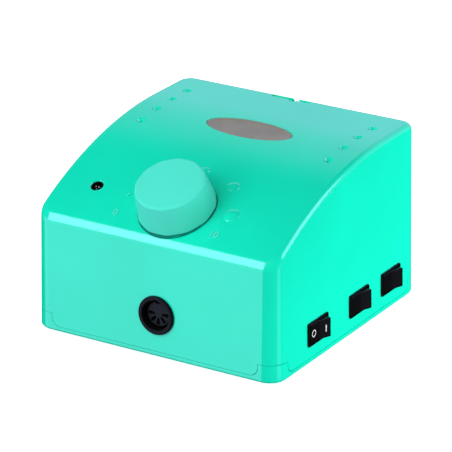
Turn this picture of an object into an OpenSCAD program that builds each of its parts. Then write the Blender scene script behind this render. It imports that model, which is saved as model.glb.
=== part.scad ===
// Bench control box of a nail drill: a drafted plastic case with an arched top, a speed knob,
// three rocker switches, a round motor socket and the electronics inside.
// Lengths are in millimetres and angles in degrees. The front faces -Y, the feet stand on z = 0.

/* [Case] */
// Width of the case along its bottom edge
case_w = 130; // [127:0.5:140]
// Depth of the case along its bottom edge
case_d = 131.4; // [128:0.2:142]
// Height of the flat rear part of the top above the table
crown_z = 86.6; // [82:0.2:96]
// Distance behind the middle at which the arched top becomes level
crown_y = 34; // [28:1:40]
// Radius of the arched top, seen from the side
top_r = 186; // [176:1:230]
// Thickness of the case walls
wall = 2.5; // [2:0.1:3]
// Radius of the four upright corners
corner_r = 8.5; // [7:0.5:11]
// Radius of the rounded edge round the top
edge_r = 3.2; // [2.4:0.1:4.4]
// Lean of the walls from upright
draft = 1.05; // [0.6:0.05:1.5]

/* [Base tray] */
// Thickness of the tray's floor
floor_t = 2.7; // [2.2:0.1:3.4]
// Height of the tray's corner walls above its bottom edge
corner_rise = 8.8; // [7:0.2:11]
// Distance from a side of the case to where the parting line dips
dip_side = 10; // [8:0.5:14]
// Radius of the dip's lower corners
dip_r = 4.4; // [2:0.2:5]
// Width of the parting line between the shells
parting_gap = 0.2; // [0.1:0.05:0.4]
// Rounding of the tray's bottom edge
tray_edge = 1.2; // [0.6:0.1:2]
// Length of each rib that locates the housing on the tray
rib_len = 30; // [20:1:36]
// Height of the locating ribs
rib_h = 3.5; // [2:0.5:5]
// Thickness of the locating ribs
rib_t = 1.6; // [1.2:0.1:2.2]

/* [Feet and case screws] */
// Height that the rubber feet lift the case
foot_h = 1.8; // [1.2:0.1:3]
// Radius of a rubber foot
foot_r = 6; // [4.5:0.5:7]
// Depth of the pocket that holds a foot
foot_pocket = 0.8; // [0.5:0.1:1.2]
// Distance of a foot's centre from the side of the case
foot_side = 18; // [16:0.5:22]
// Distance of a foot's centre from the front or rear of the case
foot_end = 26; // [24:0.5:32]
// Distance of a case screw from the side of the case
post_side = 11; // [10.5:0.25:13]
// Distance of a case screw from the front or rear of the case
post_end = 11; // [10.5:0.25:13]
// Radius of a case screw's shank
case_screw_r = 1.5; // [1.2:0.1:1.8]
// Radius of a case screw's head
case_screw_head_r = 2.8; // [2.4:0.1:3]
// Length of a case screw's shank
case_screw_len = 18; // [14:0.5:24]
// Radius of the tray's screw bosses and the housing's posts
boss_r = 4; // [3.8:0.1:4.6]
// Height of the tray's screw bosses above the floor
boss_h = 6; // [4:0.5:8]

/* [Knob and potentiometer] */
// Place of the knob to the right of the middle
knob_x = 1.7; // [-4:0.1:6]
// Distance of the knob's axis from the front of the case
knob_end = 18.9; // [18.1:0.2:25.7]
// Radius of the knob's skirt
knob_r = 18.4; // [17:0.2:20]
// Radius of the knob's top
knob_top_r = 16.3; // [14:0.1:17]
// Height of the knob
knob_h = 14.9; // [13.4:0.1:20]
// Gap between the knob's skirt and the panel
knob_gap = 0.5; // [0.4:0.1:1.8]
// Rounding of the knob's top edge
knob_round = 1.6; // [0.8:0.2:2.4]
// Thickness of the knob's skirt
knob_wall = 2; // [1.4:0.1:2.6]
// Radius of the potentiometer's shaft
shaft_r = 3; // [2.5:0.1:3.2]
// Depth of the potentiometer's seat under the panel
pot_seat = 5; // [4:0.25:6]
// Radius of the potentiometer's can
pot_r = 8.2; // [7.8:0.1:9.4]
// Depth of the potentiometer's can
pot_h = 8; // [7:0.5:11]
// Radius of the threaded bushing
bushing_r = 4; // [3.9:0.1:4.3]
// Width of the panel nut across its flats
pot_nut_w = 11; // [10.4:0.2:12]
// Thickness of the panel nut
pot_nut_h = 2; // [1.4:0.2:2.4]

/* [Panel markings and trim] */
// Distance of the speed dots from the knob's axis
dot_ring_r = 27; // [25.5:0.5:29]
// Radius of the smallest speed dot
dot_first_r = 1; // [0.6:0.1:1.4]
// Radius that each next dot gains
dot_growth = 0.65; // [0.3:0.05:0.75]
// Height of the speed dots above the panel
dot_h = 0.5; // [0.3:0.05:0.8]
// Length of the oval badge
badge_l = 45; // [36:1:50]
// Width of the oval badge
badge_w = 18; // [14:0.5:21]
// Thickness of the badge
badge_t = 0.6; // [0.4:0.1:0.9]
// Depth of the badge's recess
badge_recess = 0.8; // [0.6:0.1:1.1]
// Place of the badge behind the middle
badge_y = 16.8; // [12:0.2:22]
// Radius of a bit-holder hole
bit_hole_r = 1.25; // [1.2:0.05:1.6]
// Radius of the countersink at a bit-holder hole
bit_mouth_r = 2.2; // [1.9:0.1:2.6]
// Depth of a bit-holder hole
bit_depth = 11; // [8:0.5:14]
// Distance between neighbouring bit-holder holes
bit_pitch = 13.6; // [9:0.2:14.4]
// Distance of each row of bit-holder holes from its side of the case
bit_side = 14.6; // [13:0.2:21]
// Place of the foremost bit-holder holes behind the middle
bit_first_y = 3.8; // [-4:0.2:8]
// Length of the groove for a handpiece rest, along the rear edge
rest_w = 20.5; // [16:0.5:24]
// Width of that groove from front to rear
rest_groove = 2.8; // [1.2:0.1:3.2]
// Depth of that groove
rest_drop = 1.3; // [0.8:0.1:1.6]
// Distance of the groove's rear wall from the rear of the case
rest_end = 3.6; // [3.2:0.1:4]
// Width of the slot for the handpiece rest's tongue
slot_w = 3.5; // [2.5:0.1:4.5]
// Depth of the slot for the handpiece rest's tongue
slot_drop = 6; // [4.5:0.5:8]
// Reach of that slot from the rear of the case
slot_reach = 8; // [6:0.5:9]

/* [Indicator lamp] */
// Distance of the lamp from the left side of the case
lamp_side = 22; // [20:0.5:27]
// Distance of the lamp from the front of the case
lamp_end = 21; // [19.8:0.2:25.6]
// Radius of the lamp's lens
lamp_r = 2.5; // [2:0.1:2.6]
// Thickness of the lamp's black sleeve
lamp_sleeve = 0.35; // [0.3:0.05:0.6]

/* [Motor socket] */
// Place of the socket to the right of the middle
socket_x = 2; // [-6:0.5:8]
// Height of the socket's axis above the table
socket_z = 22.4; // [20:0.2:30]
// Radius of the socket's flange
socket_flange_r = 9.25; // [9:0.05:10]
// Thickness of the socket's flange
socket_flange_t = 1.3; // [0.8:0.1:1.8]
// Outer radius of the socket's barrel
socket_barrel_r = 8.2; // [8:0.05:8.6]
// Radius of the socket's mouth
socket_mouth_r = 7; // [6.8:0.05:7.3]
// Radius of the socket's inner block
socket_core_r = 6; // [5.6:0.05:6]
// Length of the barrel behind the panel
socket_depth = 11; // [10:0.5:14]

/* [Rocker switches] */
// Distance of the power switch from the front of the case
power_end = 36.3; // [33.9:0.2:39.7]
// Place of the direction switch along the side
direction_y = 8.4; // [4:0.2:12]
// Distance of the pedal switch from the rear of the case
pedal_end = 27.3; // [25.7:0.2:31.7]
// Height of the switches above the table
switch_z = 16.3; // [15.5:0.1:24]
// Length of a switch bezel
bezel_l = 18; // [17.8:0.1:19]
// Height of a switch bezel
bezel_h = 11.4; // [11.2:0.1:13]
// Thickness of a switch bezel
bezel_t = 0.9; // [0.6:0.1:1.2]
// Half of a rocker's length
rocker_half = 6.9; // [6.4:0.1:7]
// Half of a rocker's width
rocker_side = 4.7; // [4.2:0.1:4.8]
// Tilt of a rocker to either side of the middle
rocker_tilt = 11.5; // [9:0.5:12]
// Depth of a switch behind the wall
switch_depth = 12; // [11:0.5:14]

/* [Rear panel] */
// Place of the mains inlet's axis across the rear
inlet_x = -27; // [-28:0.5:-24]
// Height of the mains inlet's axis
inlet_z = 30; // [28:0.5:36]
// Width of the inlet's flange
inlet_flange_w = 48; // [47:0.5:50]
// Height of the inlet's flange
inlet_flange_h = 23; // [22.5:0.5:26]
// Distance between the inlet's two screws
inlet_pitch = 40; // [39.5:0.1:40.5]
// Place of the fuse holder across the rear
fuse_x = 10; // [8:0.5:13]
// Height of the fuse holder's axis
fuse_z = 26; // [25:0.5:32]
// Radius of the fuse holder's barrel
fuse_barrel_r = 6; // [5.9:0.1:6.6]
// Place of the pedal jack across the rear
jack_x = 36; // [33:0.5:37]
// Height of the pedal jack's axis
jack_z = 29; // [28:0.5:36]
// Radius of the pedal jack's bore
jack_bore_r = 3.25; // [3.2:0.01:3.3]

/* [Transformer] */
// Distance of the transformer's middle from the left side of the case
transformer_side = 27; // [26:0.5:29]
// Place of the transformer in front of or behind the middle
transformer_y = -5; // [-7:0.5:-2]
// Length of the core
core_l = 48; // [44:1:50]
// Height of the core
core_h = 40; // [38:1:44]
// Thickness of the core's stack
core_stack = 20; // [16:0.5:21]
// Width of the core's middle leg
core_leg = 16; // [14:0.5:16]

/* [Control board] */
// Width of the board
board_w = 52; // [50:0.5:53]
// Length of the board
board_l = 64; // [64:0.5:67]
// Thickness of the board
board_t = 1.6; // [1.2:0.2:2]
// Height of the board above the tray's floor
board_lift = 7.5; // [6:0.5:9]
// Distance of the board from the right side of the case
board_side = 23; // [23:0.5:24]
// Place of the board's front edge
board_front_y = -36; // [-37:0.5:-35]

/* [Hidden] */
// Clearance between pieces that are fixed together
fit = 0.05;
// Clearance round a part that passes freely through a wall
pass = 0.1;
// Clearance round a part that turns or drops in loosely
loose = 0.3;
// Radial clearance of a turning shaft
running = 0.05;
// Distance that a cut runs past a face, or a joined solid into its neighbour
over = 1;
// Steps of each upright corner, of each long side under the arched top and of the rounded top edge
corner_steps = 6;
side_steps = 14;
edge_steps = 4;
$fn = 48;

// Colours
teal = [0.16, 0.89, 0.75];
teal_pale = [0.35, 0.90, 0.82];
black = [0.07, 0.08, 0.09];
rubber = [0.10, 0.10, 0.10];
steel = [0.66, 0.67, 0.69];
brass = [0.80, 0.65, 0.30];
badge_grey = [0.50, 0.50, 0.51];
board_green = [0.08, 0.38, 0.20];
core_grey = [0.33, 0.34, 0.36];
tape_yellow = [0.86, 0.70, 0.22];
cream = [0.90, 0.88, 0.80];
carbon = [0.15, 0.13, 0.12];
lens_dark = [0.12, 0.10, 0.10];
glass = [0.85, 0.88, 0.88];
sleeve_blue = [0.12, 0.16, 0.35];
lead_brown = [0.45, 0.20, 0.12];
lead_red = [0.75, 0.10, 0.10];
lead_yellow = [0.80, 0.75, 0.20];

// Places of the knob, the lamp, the bit-holder rows and two of the switches
knob_y = knob_end - case_d / 2;
lamp_x = lamp_side - case_w / 2;
lamp_y = lamp_end - case_d / 2;
bit_row_x = case_w / 2 - bit_side;
power_y = power_end - case_d / 2;
pedal_y = case_d / 2 - pedal_end;

// Heights of the tray and of the parting line
floor_z = foot_h + floor_t;
dip_z = floor_z + parting_gap;
corner_z = foot_h + corner_rise;
boss_z = floor_z + boss_h;

// Half width and half depth of the leaning walls at a height
function half_w(z) = case_w / 2 - (z - foot_h) * tan(draft);
function half_d(z) = case_d / 2 - (z - foot_h) * tan(draft);

// Height of the top, and of the same curve set in by a distance
function top_at(y, drop = 0) = y > crown_y ? crown_z - drop
    : crown_z - top_r + sqrt(pow(top_r - drop, 2) - pow(y - crown_y, 2));

// Slope of the top at a place
function top_tilt(y) = y > crown_y ? 0 : asin((crown_y - y) / top_r);

// Frames whose z axis points out of the top, front, right or rear face
module on_top(x, y) {
    translate([x, y, top_at(y)]) rotate([top_tilt(y), 0, 0]) children();
}
module on_front(x, z) {
    translate([x, -half_d(z), z]) rotate([90 - draft, 0, 0]) children();
}
module on_right(y, z) {
    translate([half_w(z), y, z]) rotate([90 - draft, 0, 90]) children();
}
module on_rear(x, z) {
    translate([x, half_d(z), z]) rotate([90 - draft, 0, 180]) children();
}

// Points in those frames: along the face, up the face, and out of it
function out_top(x, y, up, out) = let (t = top_tilt(y))
    [x, y + up * cos(t) - out * sin(t), top_at(y) + up * sin(t) + out * cos(t)];
function out_front(x, z, up, out) =
    [x, up * sin(draft) - half_d(z) - out * cos(draft), z + up * cos(draft) + out * sin(draft)];
function out_right(y, z, along, out) = [half_w(z) + out * cos(draft), y + along, z + out * sin(draft)];
function out_rear(x, z, along, up, out) =
    [x - along, half_d(z) - up * sin(draft) + out * cos(draft), z + up * cos(draft) + out * sin(draft)];

// Flat outlines and simple solids that repeat
module rounded_rect(w, d, r) {
    square([w - 2 * r, d], center = true);
    square([w, d - 2 * r], center = true);
    for (sx = [-1, 1], sy = [-1, 1])
        translate([sx * (w / 2 - r), sy * (d / 2 - r)]) circle(r = r);
}
module block(size, z) {
    translate([-size[0] / 2, -size[1] / 2, z]) cube(size);
}
module tube(r_out, r_in, z, h) {
    translate([0, 0, z]) difference() {
        cylinder(r = r_out, h = h);
        translate([0, 0, -1]) cylinder(r = r_in, h = h + 2);
    }
}
module rod(r, z, h) {
    translate([0, 0, z]) cylinder(r = r, h = h);
}
module hex(width, z, h) {
    translate([0, 0, z]) cylinder(r = width / sqrt(3), h = h, $fn = 6);
}
module at_corners(dx, dy) {
    for (sx = [-1, 1], sy = [-1, 1]) translate([sx * dx, sy * dy, 0]) children();
}
function oval(l, w) = [for (i = [0:47]) [l / 2 * cos(i * 7.5), w / 2 * sin(i * 7.5)]];

// Outer form of the case

// Right half of the plan from the rear to the front: fixed points and the directions outwards from them
plan_x = case_w / 2 - corner_r;
plan_y = case_d / 2 - corner_r;
corner_turns = [for (i = [0:corner_steps]) 90 * i / corner_steps];
half_plan = concat(
    [for (a = corner_turns) [[plan_x, plan_y], [sin(a), cos(a)]]],
    [for (i = [1:side_steps - 1]) [[plan_x, plan_y - 2 * plan_y * i / side_steps], [1, 0]]],
    [for (a = corner_turns) [[plan_x, -plan_y], [cos(a), -sin(a)]]]);
function plan_reach(z, inset) = corner_r - inset - (z - foot_h) * tan(draft);
function plan_point(p, z, inset) = let (flat = p[0] + p[1] * plan_reach(z, inset)) [flat[0], flat[1], z];
function rim_z(p, inset, drop) = let (z = top_at(plan_point(p, crown_z - drop, inset)[1], drop))
    top_at(plan_point(p, z, inset)[1], drop);
// Half outlines at one height, and along the arched top
function level_ring(inset, z) = [for (p = half_plan) plan_point(p, z, inset)];
function rim_ring(inset, drop) = [for (p = half_plan) plan_point(p, rim_z(p, inset, drop), inset)];
function mirrored(p) = [-p[0], p[1], p[2]];
function both_halves(half) = concat(half, [for (i = [len(half) - 1:-1:0]) mirrored(half[i])]);
// Solid skinned over half outlines that lie above each other
module ring_solid(rings) {
    n = len(rings[0]);
    m = 2 * n;
    last = (len(rings) - 1) * m;
    sides = [for (k = [0:len(rings) - 2], j = [0:m - 1])
        [k * m + j, k * m + (j + 1) % m, (k + 1) * m + (j + 1) % m, (k + 1) * m + j]];
    bottom = [for (i = [0:n - 2]) [i, m - 1 - i, m - 2 - i, i + 1]];
    top = [for (i = [0:n - 2]) [last + i, last + i + 1, last + m - 2 - i, last + m - 1 - i]];
    polyhedron(points = [for (r = rings) each both_halves(r)], faces = concat(sides, bottom, top));
}
module outer_form() {
    turns = [for (i = [0:edge_steps]) 90 * i / edge_steps];
    edge = [for (a = turns) rim_ring(edge_r * (1 - cos(a)), edge_r * (1 - sin(a)))];
    ring_solid(concat([level_ring(0, foot_h)], edge));
}
least_edge = 0.6;
inner_edge = max(edge_r - wall, least_edge);
module inner_form() {
    below = level_ring(wall, foot_h - over);
    ring_solid([below, rim_ring(wall, wall + inner_edge), rim_ring(wall + inner_edge, wall)]);
}
// Tongue of the housing that dips between two corners of the tray
module dip_outline(half, grow) {
    tall = corner_z;
    translate([-half + dip_r, dip_z - grow]) square([2 * (half - dip_r), tall]);
    translate([-half, dip_z - grow + dip_r]) square([2 * half, tall]);
    for (s = [-1, 1]) translate([s * (half - dip_r), dip_z - grow + dip_r]) circle(r = dip_r);
}
module dips(grow) {
    rotate([90, 0, 0]) linear_extrude(height = 2 * case_d, center = true)
        dip_outline(case_w / 2 - dip_side + grow, grow);
    rotate([90, 0, 90]) linear_extrude(height = 2 * case_w, center = true)
        dip_outline(case_d / 2 - dip_side + grow, grow);
}
post_x = case_w / 2 - post_side;
post_y = case_d / 2 - post_end;

// Potentiometer and knob, measured along the knob's axis from the panel
spot_face = 0.2;
washer_t = 0.5;
washer_rim = 0.8;
washer_r = pot_nut_w / 2 + washer_rim;
nut_z = washer_t - spot_face;
bushing_proud = 0.6;
bushing_top = nut_z + pot_nut_h + bushing_proud;
insert_z = bushing_top + loose;
insert_wall = 2;
insert_r = shaft_r + insert_wall;
knob_top = knob_gap + knob_h;
knob_roof = 2.4;
insert_top = knob_top - knob_roof - fit;
hub_wall = 2.2;
hub_r = insert_r + hub_wall;
pot_lid = 1.4;
pot_base = 1;
pot_can_t = 1;
pot_bore_r = pot_r - pot_can_t;
track_t = 1;
track_z = -pot_seat - pot_h + pot_base;
wiper_t = 0.8;
wiper_z = track_z + track_t + loose;
pot_boss_rim = 2.4;
pot_boss_r = pot_r + pot_boss_rim;

// Indicator lamp, measured along its axis from the panel
lamp_hole_r = lamp_r + fit + lamp_sleeve + fit;
lamp_boss = 5;
lamp_flange = 1;
lamp_sink = 0.8;
lamp_boss_wall = 1.8;
lamp_boss_r = lamp_hole_r + lamp_boss_wall;

// Bit holder and handpiece rest
bit_floor = 1.2;
bit_wall = 1.6;
bit_boss_r = bit_hole_r + bit_wall;
mouth_drop = bit_mouth_r - bit_hole_r;
bit_rows = [-1, 1];
bits_per_row = 4;
rest_x = -2.2;
slot_x = -0.5;
slot_wall = 1.6;

// Where the badge sits across the top
badge_x = 0.9;
badge_play = 0.3;

// Switch cut-outs, from the rocker outwards
rocker_nose = 1.1;
pivot_n = -2;
rocker_tip = rocker_nose + rocker_half * tan(rocker_tilt);
rocker_reach = rocker_half * cos(rocker_tilt) + (rocker_tip - pivot_n) * sin(rocker_tilt);
rocker_rise = pivot_n + rocker_half * sin(rocker_tilt) + (rocker_tip - pivot_n) * cos(rocker_tilt);
mouth_half = rocker_reach + loose;
mouth_side = rocker_side + loose;
switch_wall = 0.4;
body_half = mouth_half + switch_wall;
body_side = mouth_side + switch_wall;
switch_places = [power_y, direction_y, pedal_y];

// Motor socket, inlet, fuse holder and jack cut-outs
socket_hole_r = socket_barrel_r + pass;
inlet_cavity = [24.4, 16.8];
inlet_shell = [27.6, 20];
inlet_screw_r = 1.5;
fuse_hole_r = fuse_barrel_r + pass;
jack_sleeve = 1.2;
jack_thread_r = jack_bore_r + jack_sleeve;

// Places where the electronics meet the tray
transformer_x = -case_w / 2 + transformer_side;
transformer_lift = 2;
strap_t = 1.2;
strap_foot = 10;
strap_hole_in = 4;
strap_hole = core_l / 2 + fit + strap_t + strap_foot - strap_hole_in;
strap_play = 2;
strap_w = core_stack - strap_play;
small_screw_r = 1.5;
small_head_r = 2.7;
small_head_h = 1.7;
board_x = case_w / 2 - board_side - board_w / 2;
board_y = board_front_y + board_l / 2;
board_z = floor_z + board_lift;
board_hole_in = 4;
standoff_r = 3.2;

// Housing

// Solid posts and bosses that stay inside the hollow
module housing_bosses() {
    at_corners(post_x, post_y) rod(boss_r, boss_z, crown_z);
    on_top(knob_x, knob_y) rod(pot_boss_r, -pot_seat, pot_seat + over);
    on_top(lamp_x, lamp_y) rod(lamp_boss_r, -lamp_boss, lamp_boss + over);
    at_bits() rod(bit_boss_r, -bit_depth - bit_floor, bit_depth + bit_floor + over);
    slot_block = [slot_w + 2 * slot_wall, slot_reach + 2 * slot_wall, slot_drop + slot_wall];
    translate([slot_x, case_d / 2 - slot_reach / 2, crown_z]) block(slot_block, -slot_block[2]);
}
module at_bits() {
    for (s = bit_rows, i = [0:bits_per_row - 1]) let (y = bit_first_y + i * bit_pitch)
        translate([s * bit_row_x, y, top_at(y)]) children();
}
module bit_holes() {
    at_bits() {
        rod(bit_hole_r, -bit_depth, bit_depth + over);
        translate([0, 0, -mouth_drop])
            cylinder(r1 = bit_hole_r, r2 = bit_mouth_r + over, h = mouth_drop + over);
    }
}
module handpiece_rest_cut() {
    groove_y = case_d / 2 - rest_end - rest_groove / 2;
    translate([rest_x, groove_y, crown_z]) block([rest_w, rest_groove, rest_drop + over], -rest_drop);
    translate([slot_x, case_d / 2, crown_z]) block([slot_w, 2 * slot_reach, slot_drop + over], -slot_drop);
}
module switch_cutouts() {
    for (y = switch_places) on_right(y, switch_z)
        block([2 * (body_half + pass), 2 * (body_side + pass), 4 * wall], -2 * wall);
}
module rear_cutouts() {
    on_rear(inlet_x, inlet_z) {
        block([inlet_shell[0] + 2 * pass, inlet_shell[1] + 2 * pass, 4 * wall], -2 * wall);
        at_inlet_screws() rod(inlet_screw_r + pass, -2 * wall, 4 * wall);
    }
    on_rear(fuse_x, fuse_z) rod(fuse_hole_r, -2 * wall, 4 * wall);
    on_rear(jack_x, jack_z) rod(jack_thread_r + pass, -2 * wall, 4 * wall);
}
dot_count = 5;
dot_start = 178;
dot_step = 43.25;
module speed_dots() {
    for (i = [0:dot_count - 1]) let (
        turn = dot_start - i * dot_step,
        x = knob_x + dot_ring_r * cos(turn),
        y = knob_y + dot_ring_r * sin(turn) * cos(top_tilt(knob_y)))
        on_top(x, y) rod(dot_first_r + i * dot_growth, -wall / 2, wall / 2 + dot_h);
}
module upper_housing() {
    color(teal) difference() {
        union() {
            difference() {
                outer_form();
                difference() {
                    inner_form();
                    housing_bosses();
                }
                difference() {
                    block([2 * case_w, 2 * case_d, corner_z + parting_gap + over], -over);
                    dips(0);
                }
            }
            speed_dots();
        }
        at_corners(post_x, post_y) rod(case_screw_r + fit, boss_z - over, case_screw_len);
        on_top(knob_x, knob_y) {
            rod(bushing_r + pass, -pot_seat - over, pot_seat + 2 * over);
            rod(washer_r + pass, -spot_face, spot_face + 2 * over);
        }
        on_top(lamp_x, lamp_y) rod(lamp_hole_r, -lamp_boss - over, lamp_boss + 2 * over);
        on_top(badge_x, badge_y) translate([0, 0, -badge_recess])
            linear_extrude(height = badge_recess + 2 * over)
                polygon(oval(badge_l + badge_play, badge_w + badge_play));
        bit_holes();
        handpiece_rest_cut();
        on_front(socket_x, socket_z) rod(socket_hole_r, -2 * wall, 4 * wall);
        switch_cutouts();
        rear_cutouts();
    }
}

// Base tray, feet and case screws
screw_seat = 1;
head_h = 1.8;
head_pocket = screw_seat + head_h;
module locating_ribs() {
    inset = wall + loose;
    for (s = [-1, 1]) {
        translate([0, s * (half_d(floor_z + rib_h) - inset - rib_t / 2), 0])
            block([rib_len, rib_t, rib_h + over], floor_z - over);
        translate([s * (half_w(floor_z + rib_h) - inset - rib_t / 2), 0, 0])
            block([rib_t, rib_len, rib_h + over], floor_z - over);
    }
}
module tray_form() {
    edge = [level_ring(tray_edge, foot_h), level_ring(0, foot_h + tray_edge)];
    ring_solid(concat(edge, [level_ring(0, corner_z)]));
}
thread_floor = 0.5;
module base_tray() {
    color(teal) difference() {
        union() {
            difference() {
                tray_form();
                dips(parting_gap);
                ring_solid([level_ring(wall, floor_z), level_ring(wall, corner_z + over)]);
            }
            locating_ribs();
            at_corners(post_x, post_y) rod(boss_r, floor_z - over, boss_h + over);
            at_transformer_screws() rod(boss_r, floor_z - over, transformer_lift + over);
            at_board_holes() rod(standoff_r, floor_z - over, board_lift + over);
            for (s = [-1, 1]) translate([transformer_x + s * core_stack / 4, transformer_y, 0])
                block([rib_t, core_l, transformer_lift + over], floor_z - over);
        }
        at_corners(post_x, post_y) {
            rod(case_screw_r + pass, 0, boss_z + over);
            rod(case_screw_head_r + pass, 0, foot_h + head_pocket);
        }
        at_feet() rod(foot_r + pass, 0, foot_h + foot_pocket);
        at_transformer_screws() rod(small_screw_r + fit, foot_h + thread_floor, boss_z);
        at_board_holes() rod(small_screw_r + fit, floor_z, boss_z + board_lift);
    }
}
module at_feet() {
    at_corners(case_w / 2 - foot_side, case_d / 2 - foot_end) children();
}
module rubber_feet() {
    lead_in = 0.6;
    color(rubber) at_feet() {
        cylinder(r1 = foot_r - lead_in, r2 = foot_r, h = lead_in);
        rod(foot_r, lead_in, foot_h + foot_pocket - lead_in);
    }
}
// Half length of a cross recess as a share of the head's radius
cross_share = 0.55;
module cross_recess(r, z, h) {
    block([2 * r, r / 2, h], z);
    block([r / 2, 2 * r, h], z);
}
module case_screws() {
    seat_z = foot_h + head_pocket;
    color(steel) at_corners(post_x, post_y) difference() {
        union() {
            rod(case_screw_head_r, seat_z - head_h, head_h);
            rod(case_screw_r, seat_z, case_screw_len - head_pocket);
        }
        cross_recess(case_screw_head_r * cross_share, seat_z - head_h - over, head_h / 2 + over);
    }
}
module name_badge() {
    color(badge_grey) on_top(badge_x, badge_y) translate([0, 0, -badge_recess])
        linear_extrude(height = badge_t) polygon(oval(badge_l, badge_w));
}

// Speed knob and potentiometer
module speed_knob() {
    skirt_in = knob_r - knob_wall;
    top_in = knob_top_r - knob_wall;
    roof = knob_top - knob_roof;
    bend = knob_top - knob_round;
    shoulder = knob_top_r + (knob_r - knob_top_r) * knob_round / knob_h;
    color(teal_pale) on_top(knob_x, knob_y) difference() {
        union() {
            rotate_extrude() difference() {
                union() {
                    polygon([[0, knob_gap], [knob_r, knob_gap], [shoulder, bend], [0, bend]]);
                    translate([0, bend - over]) square([shoulder - knob_round, knob_round + over]);
                    translate([shoulder - knob_round, bend]) intersection() {
                        circle(r = knob_round);
                        square(knob_round);
                    }
                }
                polygon([[0, 0], [skirt_in, 0], [skirt_in, knob_gap], [top_in, roof], [0, roof]]);
            }
            tube(hub_r, insert_r + fit, insert_z, roof - insert_z + knob_roof / 2);
        }
        rod(insert_r + fit, 0, insert_top + fit);
    }
}
flat_in = 1;
insert_roof = 1;
wiper_ring = 1.6;
wiper_gap = 0.6;
module shaft_section(r, z, h) {
    difference() {
        rod(r, z, h);
        translate([r - flat_in, -r, z - over]) cube([r, 2 * r, h + 2 * over]);
    }
}
module knob_insert() {
    color(brass) on_top(knob_x, knob_y) difference() {
        rod(insert_r, insert_z, insert_top - insert_z);
        shaft_section(shaft_r + fit, insert_z - insert_roof, insert_top - insert_z);
    }
}
module pot_shaft() {
    color(steel) on_top(knob_x, knob_y) {
        rod(shaft_r, wiper_z, insert_z - wiper_z);
        shaft_section(shaft_r, insert_z, insert_top - insert_z - insert_roof - fit);
    }
}
module pot_wiper() {
    arm_w = 3;
    color(brass) on_top(knob_x, knob_y) difference() {
        union() {
            rod(shaft_r + wiper_ring, wiper_z, wiper_t);
            translate([0, -arm_w / 2, wiper_z]) cube([pot_bore_r - wiper_gap, arm_w, wiper_t]);
        }
        rod(shaft_r + fit, wiper_z - over, wiper_t + 2 * over);
    }
}
module pot_bushing() {
    color(brass) on_top(knob_x, knob_y)
        tube(bushing_r, shaft_r + running, -pot_seat, pot_seat + bushing_top);
}
module pot_body() {
    color(core_grey) on_top(knob_x, knob_y) difference() {
        rod(pot_r, -pot_seat - pot_h, pot_h);
        rod(pot_bore_r, track_z, pot_h - pot_lid - pot_base);
        rod(shaft_r + loose, -pot_seat - pot_lid - over, pot_lid + 2 * over);
    }
}
module pot_track() {
    color(carbon) on_top(knob_x, knob_y) tube(pot_bore_r - fit, shaft_r, track_z, track_t);
}
module pot_washer() {
    color(steel) on_top(knob_x, knob_y) tube(washer_r, bushing_r + pass, -spot_face, washer_t);
}
module pot_nut() {
    color(steel) on_top(knob_x, knob_y) difference() {
        hex(pot_nut_w, nut_z, pot_nut_h);
        rod(bushing_r + fit, nut_z - over, pot_nut_h + 2 * over);
    }
}
pot_tab = [2, 6, 0.6];
pot_tab_pitch = 4;
function pot_tab_foot(x) = sqrt(pot_r * pot_r - pow(abs(x) - pot_tab[0] / 2, 2)) + fit;
module pot_terminals() {
    color(steel) on_top(knob_x, knob_y) for (i = [-1:1]) let (x = i * pot_tab_pitch)
        translate([x - pot_tab[0] / 2, pot_tab_foot(x), track_z]) cube(pot_tab);
}

// Indicator lamp
sleeve_sink = 0.3;
lens_top = -lamp_sink - lamp_r;
lamp_foot = -lamp_boss - 2 * lamp_flange - fit;
module lamp_lens() {
    color(lens_dark) on_top(lamp_x, lamp_y) {
        translate([0, 0, lens_top]) intersection() {
            sphere(r = lamp_r);
            rod(lamp_r, 0, lamp_r);
        }
        rod(lamp_r, lamp_foot, lens_top - lamp_foot);
        rod(lamp_r + lamp_sleeve, lamp_foot, lamp_flange);
    }
}
module lamp_sleeve_ring() {
    color(black) on_top(lamp_x, lamp_y) {
        low = -lamp_boss - lamp_flange;
        tube(lamp_r + fit + lamp_sleeve, lamp_r + fit, low, -low - sleeve_sink);
        tube(lamp_boss_r, lamp_r + fit, low, lamp_flange - fit);
    }
}
lamp_leg = 0.5;
lamp_leg_pitch = 2.54;
lamp_leg_len = 7;
module lamp_legs() {
    color(steel) on_top(lamp_x, lamp_y) for (s = [-1, 1]) translate([s * lamp_leg_pitch / 2, 0, 0])
        block([lamp_leg, lamp_leg, lamp_leg_len], lamp_foot - fit - lamp_leg_len);
}

// Motor socket
socket_back = 2;
contact_count = 5;
contact_ring_r = 3.5;
contact_slot = [3, 1.5];
contact_blade = [2.2, 0.9];
contact_tail = 3.5;
contact_sink = 5;
core_sink = 1.5;
key_w = 2.8;
key_drop = 0.7;
socket_nut_rim = 2;
socket_nut_r = socket_barrel_r + socket_nut_rim;
socket_nut_h = 2.4;
contact_start = 180;
contact_step = 45;
module at_contacts() {
    for (i = [0:contact_count - 1]) rotate([0, 0, contact_start + contact_step * i])
        translate([contact_ring_r, 0, 0]) children();
}
module motor_socket_shell() {
    color(black) on_front(socket_x, socket_z) difference() {
        union() {
            rod(socket_flange_r, 0, socket_flange_t);
            rod(socket_barrel_r, -socket_depth, socket_depth + socket_flange_t / 2);
        }
        rod(socket_mouth_r, -socket_depth + socket_back, socket_depth + socket_flange_t);
        rod(socket_core_r + fit, -socket_depth - over, socket_back + 2 * over);
        translate([-key_w / 2, 0, -socket_depth + socket_back])
            cube([key_w, socket_mouth_r + key_drop, socket_depth + socket_flange_t]);
    }
}
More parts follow.
